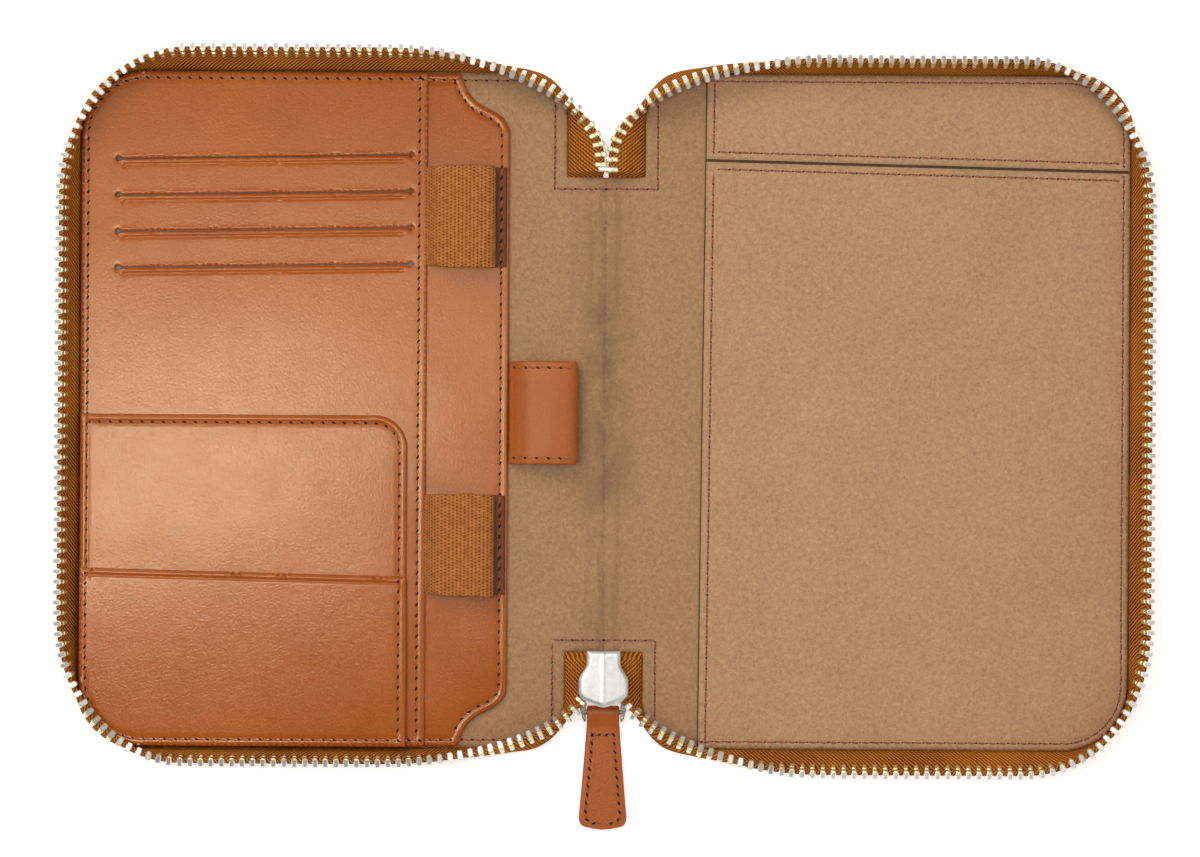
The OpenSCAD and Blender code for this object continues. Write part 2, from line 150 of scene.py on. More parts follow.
def in_xz(path):
    """A path drawn in x and z, as 3-D points."""
    return np.stack([path[:, 0], np.zeros(len(path)), path[:, 1]], 1)


def lengths(path):
    return np.concatenate([[0], np.cumsum(np.linalg.norm(np.diff(path, axis=0), axis=1))])


def resample(path, step, closed=False):
    if closed:
        path = np.concatenate([path, path[:1]])
    s = lengths(path)
    n = max(2, int(round(s[-1] / step)) + 1)
    t = np.linspace(0, s[-1], n)
    out = np.stack([np.interp(t, s, path[:, k]) for k in range(path.shape[1])], 1)
    return out[:-1] if closed else out


def keep_corners(path, step, closed=True):
    """Adds points along the straight stretches of an outline, and keeps its own points."""
    loop = np.concatenate([path, path[:1]]) if closed else path
    out = []
    for p, q in zip(loop[:-1], loop[1:]):
        n = max(1, int(math.ceil(np.linalg.norm(q - p) / step)))
        out.extend(p + (q - p) * k / n for k in range(n))
    return np.array(out if closed else out + [loop[-1]])


def tangents(path):
    t = np.gradient(path, axis=0)
    return t / np.linalg.norm(t, axis=1, keepdims=True)


def distance_to(points, segments):
    """Distance from each point to the nearest of the segments [n, 2, 2], 4000 points at a time."""
    a, d = segments[:, 0], segments[:, 1] - segments[:, 0]
    dd = np.maximum((d * d).sum(1), 1e-12)
    best = []
    for i in range(0, len(points), 4000):
        p = points[i : i + 4000, None] - a[None]
        t = np.clip((p * d).sum(2) / dd, 0, 1)
        best.append(np.sqrt((((p - t[..., None] * d) ** 2).sum(2)).min(1)))
    return np.concatenate(best) if best else np.zeros(0)


def inside(points, loops):
    hit = np.zeros(len(points), bool)
    x, y = points[:, 0], points[:, 1]
    for loop in loops:
        for (x0, y0), (x1, y1) in zip(loop, np.roll(loop, -1, 0)):
            crosses = (y0 > y) != (y1 > y)
            with np.errstate(divide="ignore", invalid="ignore"):
                hit ^= crosses & (x < (x1 - x0) * (y - y0) / (y1 - y0) + x0)
    return hit


def segments_of(loop, closed=True):
    if closed:
        return np.stack([loop, np.roll(loop, -1, 0)], 1)
    return np.stack([loop[:-1], loop[1:]], 1)


# ---- building meshes
def put(name, verts, faces, material, uv=None, smooth_shade=True):
    """A mesh object from millimetre points. uv is one (u, v) in millimetres for each point."""
    mesh = bpy.data.meshes.new(name)
    mesh.from_pydata((np.asarray(verts) * MM).tolist(), [], faces)
    mesh.validate()
    if uv is None:
        uv = np.asarray(verts)[:, :2]
    layer = mesh.uv_layers.new(name="UVMap")
    index = np.zeros(len(mesh.loops), int)
    mesh.loops.foreach_get("vertex_index", index)
    layer.data.foreach_set("uv", (np.asarray(uv)[index] / UV_MM).astype(np.float32).ravel())
    mesh.polygons.foreach_set("use_smooth", [smooth_shade] * len(mesh.polygons))
    obj = bpy.data.objects.new(name, mesh)
    bpy.context.scene.collection.objects.link(obj)
    for m in material if isinstance(material, tuple) else [material]:
        mesh.materials.append(m)
    mesh.update()
    return obj


def mirror_x(verts, faces):
    v = np.array(verts, float)
    v[:, 0] *= -1
    return v, [tuple(reversed(f)) for f in faces]


EDGE_RINGS = (0.12, 0.35, 0.7, 1.15, 1.6, 1.95, 2.3, 2.65, 3.1, 4.2)


def slab(loops, z_low, top, grid=4.5, step=2.0, rings=EDGE_RINGS, round_r=0.35, free=None, extra=None,
         bottom=None, under_round=0.0):
    """A sheet of leather from its outline: a shaped top, rounded edges and a flat underside.

    top(x, y, d) gives the height, where d is the distance to the nearest free edge. free(mid) says
    which segments of the outline are real edges. extra holds more points for fine creases."""
    loops = [keep_corners(np.array(l, float), step) for l in loops]
    segs = np.concatenate([segments_of(l) for l in loops])
    mids = segs.mean(1)
    real = segs if free is None else segs[free(mids)]
    outline = np.concatenate(loops)
    low, high = outline.min(0), outline.max(0)
    gx, gy = np.meshgrid(*(np.arange(low[k] + grid / 2, high[k], grid) for k in (0, 1)))
    gx = gx + (np.arange(gx.shape[0]) % 2)[:, None] * grid / 2
    inner = np.stack([gx.ravel(), gy.ravel()], 1)
    inner = inner[distance_to(inner, segs) > rings[-1] + grid * 0.4]
    more = []
    for loop in loops:
        seg = segments_of(loop)
        mid = seg.mean(1)
        n = left_of(unit(seg[:, 1] - seg[:, 0]))
        for r in rings:
            for side in (-1, 1):
                p = mid + n * r * side
                more.append(p[distance_to(p, segs) > r * 0.985])
    pts = [inner, *more]
    if extra is not None:
        pts.append(extra[distance_to(extra, segs) > 0.1])
    pts = np.concatenate(pts)
    pts = pts[inside(pts, loops)]
    everything = np.concatenate([outline, pts])
    edges, at = [], 0
    for l in loops:
        edges += [(at + i, at + (i + 1) % len(l)) for i in range(len(l))]
        at += len(l)
    out = delaunay_2d_cdt([Vector(p) for p in everything], edges, [], 0, 1e-5, False)
    xy = np.array([tuple(p) for p in out[0]])
    tri = np.array([f for f in out[2] if len(f) == 3])
    tri = tri[inside(xy[tri].mean(1), loops)]
    used = np.unique(tri)
    remap = -np.ones(len(xy), int)
    remap[used] = np.arange(len(used))
    xy, tri = xy[used], remap[tri]
    d = distance_to(xy, real)
    z = top(xy[:, 0], xy[:, 1], d) - rounding(d, round_r)
    n = len(xy)
    zb = np.full(n, float(z_low)) if bottom is None else bottom(d)
    if under_round:
        zb = zb + rounding(d, under_round)
    verts = np.concatenate([np.column_stack([xy, z]), np.column_stack([xy, zb])])
    faces = [tuple(f) for f in tri] + [(f[2] + n, f[1] + n, f[0] + n) for f in tri]
    count = {}
    for f in tri:
        for a, b in ((f[0], f[1]), (f[1], f[2]), (f[2], f[0])):
            count[(a, b)] = count.get((a, b), 0) + 1
    for a, b in count:
        if (b, a) not in count:
            faces.append((a, a + n, b + n, b))
    a, b, c = verts[list(faces[0])]
    if np.cross(b - a, c - a)[2] <= 0:
        faces = [tuple(reversed(f)) for f in faces]
    return verts, faces


def flat_at(z):
    """A flat top for a slab."""
    return lambda x, y, d: np.full(len(x), float(z))


def skin(rings):
    """Joins rings of equal length into a closed skin, capped at both ends."""
    m, last = len(rings[0]), len(rings) - 1
    faces = []
    for at in range(0, last * m, m):
        for j in range(m):
            i = (j + 1) % m
            faces.append((at + j, at + i, at + m + i, at + m + j))
    faces.append(tuple(reversed(range(m))))
    faces.append(tuple(range(last * m, last * m + m)))
    return np.concatenate(rings), faces


def sweep(path, thick, width, u_dir, centre=0.0, n_edge=5, n_flat=7):
    """A strap that follows path (3-D points in a plane), thick through, and width(k) wide along u_dir."""
    u = np.array(u_dir, float)
    n = np.cross(tangents(path), u)
    rings, uv = [], []
    h = thick / 2
    a = np.radians(np.linspace(-90, 90, n_edge))
    for k, s in enumerate(lengths(path)):
        w = width(k) / 2
        e = min(h, w * 0.9)
        side = np.stack([w - e + e * np.cos(a), h * np.sin(a)], 1)
        flat = np.stack([np.linspace(w - e, -w + e, n_flat + 2)[1:-1], np.full(n_flat, h)], 1)
        ring = np.concatenate([side, flat, -side, -flat])
        rings.append(path[k] + np.outer(ring[:, 0] + centre, u) + np.outer(ring[:, 1], n[k]))
        uv.append(np.stack([np.full(len(ring), s), ring[:, 0]], 1))
    return *skin(rings), np.concatenate(uv)


def scatter(template, frames):
    """Copies of a template (verts, faces) at each frame (origin, x, y, z axes)."""
    tv, tf = template
    verts, faces = [], []
    for i, (o, x, y, z) in enumerate(frames):
        verts.append(o + tv[:, :1] * x + tv[:, 1:2] * y + tv[:, 2:] * z)
        faces += [tuple(j + i * len(tv) for j in f) for f in tf]
    return np.concatenate(verts), faces


def rounded_box(sx, sy, sz, b, centre=(0, 0, 0)):
    """A box with bevelled edges."""
    x, y, z = sx / 2, sy / 2, sz / 2
    rings = []
    for zz, inset in ((-z, b), (-z + b, 0), (z - b, 0), (z, b)):
        w, l = x - inset, y - inset
        c = b * 0.8
        rings.append(np.array([
            (w, -l + c, zz), (w, l - c, zz), (w - c, l, zz), (-w + c, l, zz),
            (-w, l - c, zz), (-w, -l + c, zz), (-w + c, -l, zz), (w - c, -l, zz)]) + centre)
    return skin(rings)


def merge(*parts):
    verts, faces, at = [], [], 0
    for v, f in parts:
        verts.append(v)
        faces += [tuple(i + at for i in face) for face in f]
        at += len(v)
    return np.concatenate(verts), faces


# ---- materials
class Output:
    """A node's output. Adding, subtracting or multiplying it makes a Math node."""

    def __init__(self, nodes, socket):
        self.nodes, self.socket = nodes, socket

    def math(self, op, other=0.0):
        return self.nodes.out("ShaderNodeMath", {0: self, 1: other}, operation=op)

    def __add__(self, other):
        return self.math("ADD", other)

    def __sub__(self, other):
        return self.math("SUBTRACT", other)

    def __mul__(self, other):
        return self.math("MULTIPLY", other)


def with_alpha(value):
    return (*value, 1) if isinstance(value, tuple) else value


class Nodes:
    """A short way to write a node material. Every texture reads the UV map, so it stays put on a bend."""

    def __init__(self, name, roughness, metallic=0.0, specular=0.5, sheen=0.0):
        self.mat = bpy.data.materials.new(name)
        self.mat.use_nodes = True
        self.tree = self.mat.node_tree
        self.bsdf = self.tree.nodes["Principled BSDF"]
        for key, value in (("Roughness", roughness), ("Metallic", metallic), ("Specular IOR Level", specular),
                           ("Sheen Weight", sheen)):
            self.bsdf.inputs[key].default_value = value
        self.uv = self.out("ShaderNodeUVMap")

    def node(self, kind, inputs=(), **props):
        n = self.tree.nodes.new(kind)
        for k, v in props.items():
            setattr(n, k, v)
        for k, v in dict(inputs).items():
            self.set(n.inputs[k], v)
        return n

    def out(self, kind, inputs=(), index=0, **props):
        return Output(self, self.node(kind, inputs, **props).outputs[index])

    def set(self, socket, value):
        if isinstance(value, Output):
            self.tree.links.new(value.socket, socket)
        else:
            socket.default_value = value

    def mapping(self, scale, rotation=0.0):
        return self.out("ShaderNodeMapping", {
            "Vector": self.uv, "Scale": (*scale, 1.0), "Rotation": (0, 0, rotation)})

    def uv_parts(self):
        split = self.node("ShaderNodeSeparateXYZ", {0: self.uv}).outputs
        return Output(self, split[0]), Output(self, split[1])

    def noise(self, size, detail=3.0, rough=0.5, stretch=(1, 1), distortion=0.0, rotation=0.0):
        """Noise with features of about `size` millimetres."""
        return self.out("ShaderNodeTexNoise", {
            "Vector": self.mapping(stretch, rotation), "Scale": UV_MM / size, "Detail": detail,
            "Roughness": rough, "Distortion": distortion})

    def cells(self, size, feature="F1"):
        return self.out("ShaderNodeTexVoronoi", {"Vector": self.uv, "Scale": UV_MM / size}, feature=feature)

    def ramp(self, fac, stops):
        n = self.node("ShaderNodeValToRGB", {"Fac": fac})
        e = n.color_ramp.elements
        while len(e) < len(stops):
            e.new(0.5)
        for el, (pos, col) in zip(e, stops):
            el.position = pos
            el.color = (*col, 1) if isinstance(col, tuple) else (col, col, col, 1)
        return Output(self, n.outputs[0])

    def tones(self, fac, tone, *stops):
        """A ramp between darker and lighter versions of one colour: stops are (position, gain)."""
        return self.ramp(fac, [(at, tuple(min(1, c * gain) for c in tone)) for at, gain in stops])

    def mix(self, fac, a, b):
        return self.out("ShaderNodeMix", {0: fac, 6: with_alpha(a), 7: with_alpha(b)}, 2, data_type="RGBA")

    def bump(self, height, strength, distance, normal=None):
        inputs = {"Height": height, "Strength": strength, "Distance": distance * MM}
        return self.out("ShaderNodeBump", inputs if normal is None else {**inputs, "Normal": normal})

    def finish(self, color, roughness=None, normal=None):
        for key, value in (("Base Color", with_alpha(color)), ("Roughness", roughness), ("Normal", normal)):
            if value is not None:
                self.set(self.bsdf.inputs[key], value)
        return self.mat


def leather(name, tone, dark, light, rough=0.42, grain=0.9, scratches=0.35):
    """Cloudy colour, fine pebbled grain with pores, and scattered pale scratches."""
    n = Nodes(name, rough, specular=0.6)
    n.bsdf.inputs["Specular Tint"].default_value = (1.0, 0.85, 0.58, 1)
    clouds = n.noise(46, 3, 0.55, distortion=0.6)
    fine = n.noise(3.2, 4, 0.6)
    color = n.ramp(clouds, [(0.3, dark), (0.5, tone), (0.72, light)])
    color = n.mix(0.14, color, n.tones(fine, tone, (0.35, 0.72), (0.65, 1.22)))
    speckle = n.noise(0.8, 4, 0.75)
    color = n.mix(0.3, color, n.tones(speckle, tone, (0.34, 0.66), (0.66, 1.34)))
    pores = n.cells(0.55)
    pebble = n.cells(1.3, "DISTANCE_TO_EDGE")
    lines = n.out("ShaderNodeTexNoise", {
        "Vector": n.mapping((1.0, 26.0), 1.25), "Scale": 5.0, "Detail": 5.0, "Roughness": 0.75})
    scratch = n.ramp(lines, [(0.69, 0.0), (0.735, 1.0)])
    spread = n.ramp(n.noise(30, 2), [(0.5, 0.0), (0.62, 1.0)])
    scratch = scratch * spread * scratches
    color = n.mix(scratch, color, tuple(min(1, c * 1.35 + 0.04) for c in light))
    roughness = n.noise(9, 4, 0.6) * 0.16 + (rough - 0.08) + scratch * 0.2
    height = pebble * (0.6 * grain) + pores * (-0.3 * grain) + (fine + speckle) * 0.5
    bump = n.bump(height, 0.2, 0.25)
    return n.finish(color, roughness, n.bump(n.noise(14, 2, 0.5), 0.12, 0.4, bump))


def suede(name, tone, dark, light, creased=False):
    """Brushed nap with a few dark specks. creased adds the worn, wrinkled middle of the spine, with painted shade
    along its wrinkles.
    """
    n = Nodes(name, 0.93, specular=0.14, sheen=0.3)
    n.bsdf.inputs["Sheen Roughness"].default_value = 0.45
    n.bsdf.inputs["Sheen Tint"].default_value = (1.0, 0.86, 0.7, 1)
    patches = n.noise(40, 4, 0.62, distortion=0.8)
    strokes = n.noise(5.2, 5, 0.72, distortion=1.4, rotation=0.7)
    nap = n.noise(1.15, 4, 0.8, distortion=0.8)
    color = n.ramp(patches, [(0.28, dark), (0.5, tone), (0.74, light)])
    color = n.mix(0.55, color, n.tones(strokes, tone, (0.3, 0.78), (0.7, 1.2)))
    color = n.mix(0.5, color, n.tones(nap, tone, (0.34, 0.6), (0.66, 1.4)))
    specks = n.ramp(n.cells(2.6), [(0.0, 1.0), (0.055, 0.0)])
    color = n.mix(specks * 0.5, color, tuple(c * 0.4 for c in dark))
    height = nap + strokes * 0.8
    if creased:
        across = n.uv_parts()[0].math("ABSOLUTE")
        middle = n.ramp(across * 4.0, [(0.02, 1.0), (0.5, 0.0)])
        along = (n.uv_parts()[1] - 0.07).math("ABSOLUTE")
        worn = middle * n.ramp(along, [(0.1, 1.0), (0.6, 0.25)])
        worn = worn * n.ramp(n.noise(26, 3, 0.6, distortion=1.0), [(0.36, 0.0), (0.62, 1.0)])
        lines = n.ramp(n.noise(4.0, 3, 0.6, stretch=(1.0, 0.11), distortion=0.5), [(0.28, 1.0), (0.46, 0.0)])
        lines = middle * lines
        color = n.mix(worn * 0.8, color, tuple(c * 0.42 for c in tone))
        # Painted shade: the wrinkle lines are darkened in colour as well as pressed in by the bump.
        color = n.mix(lines * 0.2, color, tuple(c * 0.36 for c in tone))
        height = height - lines * 1.6
    return n.finish(color, None, n.bump(height, 0.5, 0.26))


def woven(name, tone, dark, light, pitch, angle):
    """Twill tape: slanted ribs, each one broken up by the threads that cross it."""
    n = Nodes(name, 0.8, specular=0.03)
    u, v = n.uv_parts()
    lean = (u + v * angle) * UV_MM + n.noise(3, 2) * 0.8
    rib = (lean * (2 * math.pi / pitch)).math("SINE")
    cross = (v * (UV_MM * 2 * math.pi / (pitch * 0.7))).math("SINE")
    height = rib * 0.42 + cross * 0.12 + n.noise(0.7, 3, 0.6) * 0.35
    color = n.ramp(height + 0.33, [(0.06, dark), (0.5, tone), (0.94, light)])
    color = n.mix(0.2, color, n.ramp(n.noise(22, 3), [(0.35, dark), (0.65, light)]))
    return n.finish(color, None, n.bump(height, 0.7, 0.35))


def elastic(name, tone, dark, light):
    """Ribbed elastic: rows of small holes, each row half a step along from the next, darkened with painted shade."""
    rib_pitch, hole_pitch = 1.16, 1.02
    n = Nodes(name, 0.82, specular=0.1)
    u, v = n.uv_parts()
    row = u * (UV_MM / rib_pitch)
    col = v * (UV_MM / hole_pitch)
    odd = row.math("FLOOR").math("FLOORED_MODULO", 2.0) * 0.5
    fx = row.math("FRACT") - 0.5
    fy = (col + odd).math("FRACT") - 0.5
    d = (fx * fx + fy * fy * 1.6).math("SQRT")
    patchy = n.noise(2.5, 3) * 0.16
    hole = n.ramp(d + patchy, [(0.27, 1.0), (0.36, 0.0)])
    rib = (u * (UV_MM * 2 * math.pi / rib_pitch)).math("SINE")
    color = n.ramp(rib * 0.12 + n.noise(2.0, 3), [(0.25, dark), (0.5, tone), (0.8, light)])
    # Painted shade: each hole is filled with a near-black colour.
    color = n.mix(hole * 0.85, color, (0.045, 0.014, 0.006))
    height = rib * 0.15 - hole * 0.9
    return n.finish(color, None, n.bump(height, 0.8, 0.3))


def metal(name, tone, rough, brush=0.0, tint=None):
    n = Nodes(name, rough, metallic=1.0)
    mottled = n.noise(2.4, 4, 0.6)
    color = n.mix(n.ramp(mottled, [(0.42, 0.0), (0.66, 0.8)]), tone, tint or tuple(c * 0.82 for c in tone))
    lines = n.noise(0.5, 4, 0.7, stretch=(1.0, 0.12))
    roughness = lines * 0.22 + (rough - 0.08)
    return n.finish(color, roughness, n.bump(lines, 0.12 + brush, 0.05))


def thread(name, tone):
    n = Nodes(name, 0.6, specular=0.3, sheen=0.2)
    u, v = n.uv_parts()
    twist = ((u + v) * (UV_MM * 2 * math.pi / 0.5)).math("SINE")
    color = n.tones(twist * 0.3 + n.noise(1.4, 2), tone, (0.2, 0.6), (0.8, 1.3))
    return n.finish(color, None, n.bump(twist, 0.6, 0.1))


def plain_cloth(name, tone, rough=0.85):
    n = Nodes(name, rough, specular=0.3)
    weave = n.noise(0.5, 2)
    return n.finish(n.tones(weave, tone, (0.3, 0.75), (0.7, 1.15)), None, n.bump(weave, 0.4, 0.1))


TAN = leather("tan_leather", (0.378, 0.080, 0.007), (0.325, 0.061, 0.004), (0.425, 0.100, 0.012), rough=0.18)
TAN_OUT = leather("tan_leather_outside", (0.39, 0.080, 0.010), (0.31, 0.056, 0.006), (0.44, 0.10, 0.016),
                  rough=0.36, grain=3.6, scratches=0.5)
# Dark leather for the elastic's sewn tails: this darkness is painted shade cast by the elastic loops.
TAN_IN_SHADE = leather("leather_band_painted_shade", (0.165, 0.027, 0.003), (0.10, 0.015, 0.002), (0.24, 0.043, 0.006), rough=0.52,
                   grain=2.0, scratches=0.3)
# A touch lighter than TAN: painted highlight standing in for the pen loop's sheen.
TAN_STRAP = leather("tan_leather_strap", (0.41, 0.092, 0.012), (0.35, 0.070, 0.008), (0.45, 0.112, 0.018),
                    rough=0.42, grain=2.6, scratches=0.4)
# Near-black suede for the strips of painted shade in the notebook slit and beside the notebook pocket's inner edge.
SHADE = suede("painted_shade_suede", (0.085, 0.046, 0.022), (0.06, 0.032, 0.015), (0.11, 0.06, 0.03))
SUEDE_LINING = suede("suede_lining", (0.395, 0.222, 0.112), (0.34, 0.182, 0.086), (0.45, 0.262, 0.138), creased=True)
SUEDE = suede("suede_panel", (0.475, 0.275, 0.142), (0.375, 0.206, 0.098), (0.575, 0.345, 0.188))
TAPE = woven("zip_tape", (0.33, 0.092, 0.008), (0.06, 0.014, 0.001), (0.66, 0.235, 0.030), 1.25, 0.85)
ELASTIC = elastic("elastic", (0.43, 0.145, 0.036), (0.36, 0.112, 0.026), (0.52, 0.19, 0.052))
TEETH = metal("zip_metal", (0.86, 0.85, 0.82), 0.36, tint=(0.74, 0.70, 0.58))
TEETH_GOLD = metal("zip_metal_gold", (0.80, 0.66, 0.34), 0.34, tint=(0.90, 0.82, 0.60))
SLIDER = metal("slider_metal", (0.77, 0.76, 0.73), 0.42, brush=0.06)
LINK = metal("link_metal", (0.42, 0.40, 0.37), 0.3, tint=(0.40, 0.33, 0.2))
THREAD = thread("thread_tan", (0.40, 0.11, 0.022))
THREAD_RED = thread("thread_red_brown", (0.34, 0.105, 0.058))
# The needle holes' near-black colour is painted shade inside the holes.
HOLE = plain_cloth("needle_hole", (0.03, 0.007, 0.003))
LINER = plain_cloth("liner_cloth", (0.26, 0.22, 0.20), 0.5)
BOARD = plain_cloth("board", (0.50, 0.42, 0.32))


def attach(obj, side):
    """Bakes the object's transform into its mesh, the same for either side."""
    if side == RIGHT:
        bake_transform(obj)
    else:
        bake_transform(obj)
    return obj


def on_body(obj, body):
    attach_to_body(obj, body)
    return obj


# ---- outlines, drawn at +X
def half_outline(g):
    """A cover with half the spine, grown outwards by g."""
    ro, ri = R_OUT + g, R_IN + g
    quarter = join(arc(FOLD + R_IN, EDGE_Y - R_IN, ri, ri, 180, 90, 9),
                   arc(EDGE_X - R_OUT, EDGE_Y - R_OUT, ro, ro, 90, 0, 15))
    return join([[0, FLOOR_TOP]], [[FOLD - g, FLOOR_TOP]], quarter, quarter[::-1] * [1, -1],
                [[FOLD - g, -FLOOR_BOTTOM]], [[0, -FLOOR_BOTTOM]])


# The panels end INSET inside the lining's edge: head and foot are their rounded outer corners.
INSET = 0.4
side_x, y_edge = EDGE_X - INSET, EDGE_Y - INSET
head = arc(EDGE_X - R_OUT, EDGE_Y - R_OUT, R_OUT - INSET, R_OUT - INSET, 90, 0, 15)
foot = head[::-1] * [1, -1]

# ---- outer leather, lining
SPINE_WRINKLES = ((0.0, 0.6, 1.7, 3), (4.6, 0.55, 1.2, 5), (-4.4, 0.5, 1.3, 8), (8.2, 0.25, 1.5, 9),
                  (-8.4, 0.22, 1.6, 11))  # x, depth, width, seed


def lining_height(x, y, d, side):
    """Flat on the covers, with the crease and the long soft wrinkles of the spine."""
    z = LINING_TOP - 0.05 + 0.07 * waves(x * side, y, 30, 21)
    gx = x * side
    for x0, depth, width, seed in SPINE_WRINKLES:
        line = x0 + 0.9 * waves(y, y * 0, 46, seed)
        strength = np.clip(0.5 + 0.4 * waves(y, y * 0, 60, seed + 40) + 0.5 * smooth((np.abs(y) - 30) / 30), 0.1, 1.2)
        z = z - depth * strength * bell(gx - line, width)
        z = z + 0.35 * depth * strength * (bell(gx - line - 1.9, 1.2) + bell(gx - line + 1.9, 1.2))
    z = z - 0.22 * bell(d - 2.7, 0.45) * (np.abs(x) > 11) + 0.10 * bell(d - 1.2, 0.8)
    return np.maximum(z, LINING_LOW + 0.3)


def shell_bottom(d):
    """The underside of the outer leather, with a line pressed in near its edge."""
    return 0.02 + 0.34 * bell(d - 3.2, 0.5)


spine_grid = np.array([(x, y) for x in np.arange(0.4, 20, 0.8) for y in np.arange(2 - EDGE_Y, EDGE_Y - 2, 2.4)])
half_sheet = {"free": lambda mids: np.abs(mids[:, 0]) > 0.05, "extra": spine_grid}
for side, tag in ((LEFT, "left"), (RIGHT, "right")):
    v, f = slab([half_outline(0)], LINING_LOW, lambda x, y, d: lining_height(x, y, d, side), grid=5,
                round_r=0.45, **half_sheet)
    if side == LEFT:
        v, f = mirror_x(v, f)
    obj = put(f"suede_lining_{tag}", v, f, SUEDE_LINING)
    attach(obj, side)
    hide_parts(f"{tag}_lining", *(["spine_lining"] if side == RIGHT else []))

    v, f = slab([half_outline(RIM)], 0.0, flat_at(SHELL_TOP), grid=7, round_r=0.4, bottom=shell_bottom,
                under_round=0.6, **half_sheet)
    if side == LEFT:
        v, f = mirror_x(v, f)
    obj = put(f"outer_leather_{tag}", v, f, TAN_OUT)
    attach(obj, side)
    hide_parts(f"{tag}_outer_leather", *(["spine_outer_leather"] if side == RIGHT else []))

# ---- panels of the left cover, drawn at +X
SLIT_IN, SLIT_LENGTH, SLIT_Y0, SLIT_PITCH, SLITS = 59.8, 89.8, 78.0, 11.15, 4
SLIT_OUT = SLIT_IN + SLIT_LENGTH
SLIT_FALL = math.tan(math.radians(1.0))
SLIT_HALF_WIDTH, PUNCH_R = 0.17, 0.74
STITCH_IN = 2.3
slit_ys = [SLIT_Y0 - i * SLIT_PITCH for i in range(SLITS)]


def left_panel(name, loops, low, top, **how):
    """A leather panel of the left cover."""
    return on_body(put(name, *mirror_x(*slab(loops, low, top, **how)), TAN), "left_cover")


def slit_loop(y):
    """A slit with a punched hole at each end, as one hole in the panel. It falls towards the outer edge."""
    r, a = PUNCH_R, math.degrees(math.asin(SLIT_HALF_WIDTH / PUNCH_R))
    loop = join(arc(SLIT_OUT, y, r, r, 180 + a - 360, 180 - a, 14), arc(SLIT_IN, y, r, r, a, 360 - a, 14))
    loop[:, 1] -= (loop[:, 0] - SLIT_IN) * SLIT_FALL
    return loop


def edge_profile(z, d, rim=0.08, groove=0.15):
    """Raises the rim of a panel, and presses in the line of its stitches."""
    return z + rim * bell(d - 1.05, 0.75) - groove * bell(d - STITCH_IN, 0.55)


def card_height(x, y, d):
    z = PANEL_TOP - 0.12 + 0.07 * waves(x, y, 52, 2)
    outer = distance_to(np.stack([x, y], 1), card_outer)
    free_edge = smooth((60 - x) / 2)
    z = edge_profile(z, outer, rim=0.0, groove=0.05) + 0.12 * free_edge * bell(outer - 1.1, 0.8)
    lip = (x > SLIT_IN + 2.4) & (x < SLIT_OUT - 1.6)
    to_punch = np.minimum(np.abs(x - SLIT_IN), np.abs(x - SLIT_IN - SLIT_LENGTH))
    for slit_y in slit_ys:
        above = y + (x - SLIT_IN) * SLIT_FALL - slit_y
        for size, at, width in ((-0.34, 1.8, 0.3), (0.2, 0.95, 0.5), (0.10, -0.5, 0.5)):
            z = z + size * bell(above + at, width) * lip
        z = z - 0.16 * bell(np.hypot(to_punch, above), 1.3)
    return z


card_loop = join([[CARD_EDGE, y_edge]], head, foot, [[CARD_EDGE, -y_edge]])
card_outer = segments_of(keep_corners(card_loop, 4.0))
creases = np.array([(x, slit_y - dy - (x - SLIT_IN) * SLIT_FALL) for slit_y in slit_ys
                    for x in np.arange(SLIT_IN + 1.3, SLIT_OUT, 2.2)
                    for dy in (0.95, 1.4, 1.8, 2.2, 2.8, -0.5, -1.2)])
obj = left_panel("card_panel_leather", [card_loop, *map(slit_loop, slit_ys)], STRIP_TOP, card_height, extra=creases)
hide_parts("card_panel")

shoulder = join(
    bezier((29.75, 84), (29.9, 89.2), (32.6, 90.6), (36.1, 92.4), 10),
    bezier((36.1, 92.4), (41, 94.4), (43, 97.2), (44.9, y_edge), 10))
strip_loop = join(shoulder, [[60, y_edge], [60, -y_edge]], shoulder[::-1] * [1, -1])


def strip_height(x, y, d):
    z = STRIP_TOP - 0.08 + 0.10 * waves(x, y, 30, 4)
    return edge_profile(z, d, rim=0.10) - 0.10 * bell(d - 0.85, 0.16)


obj = left_panel("pen_strip_leather", [strip_loop], LINING_TOP - 0.1, strip_height, grid=3.6, step=1.6)
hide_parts("pen_strip")

REAR_Y, REAR_R = -1.8, 10.0
rear_centre = (POCKET_EDGE + REAR_R, REAR_Y - REAR_R)
rear_loop = join([[side_x, REAR_Y]], foot, [[POCKET_EDGE, -y_edge]], arc(*rear_centre, REAR_R, REAR_R, 180, 90, 10))


def rear_height(x, y, d):
    return edge_profile(REAR_TOP - 0.1 + 0.07 * waves(x, y, 52, 6), d, rim=0.10)


obj = left_panel("slip_pocket_rear_leather", [rear_loop], PANEL_TOP - 0.1, rear_height, round_r=0.4)
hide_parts("slip_pocket_rear")

SLOPE_DEG = 1.3
SLOPE = math.tan(math.radians(SLOPE_DEG))
FRONT_Y = -50.0
mid_x = (POCKET_EDGE + EDGE_X) / 2


def front_line(x):
    """The sloping top edge of the front pocket."""
    return FRONT_Y + (x - mid_x) * SLOPE


front_sides = join(foot, [[POCKET_EDGE, -y_edge], [POCKET_EDGE, front_line(POCKET_EDGE)]])
front_loop = join([[side_x, front_line(side_x)]], front_sides)
front_sides = segments_of(keep_corners(front_sides, 4.0, closed=False), closed=False)


def front_height(x, y, d):
    z = FRONT_TOP - 0.08 + 0.08 * waves(x, y, 48, 7)
    to_top = (front_line(x) - y) * math.cos(math.radians(SLOPE_DEG))
    z = edge_profile(z, distance_to(np.stack([x, y], 1), front_sides), rim=0.06)
    return z + 0.22 * bell(to_top - 0.9, 0.7) - 0.3 * bell(to_top - 2.1, 0.22)


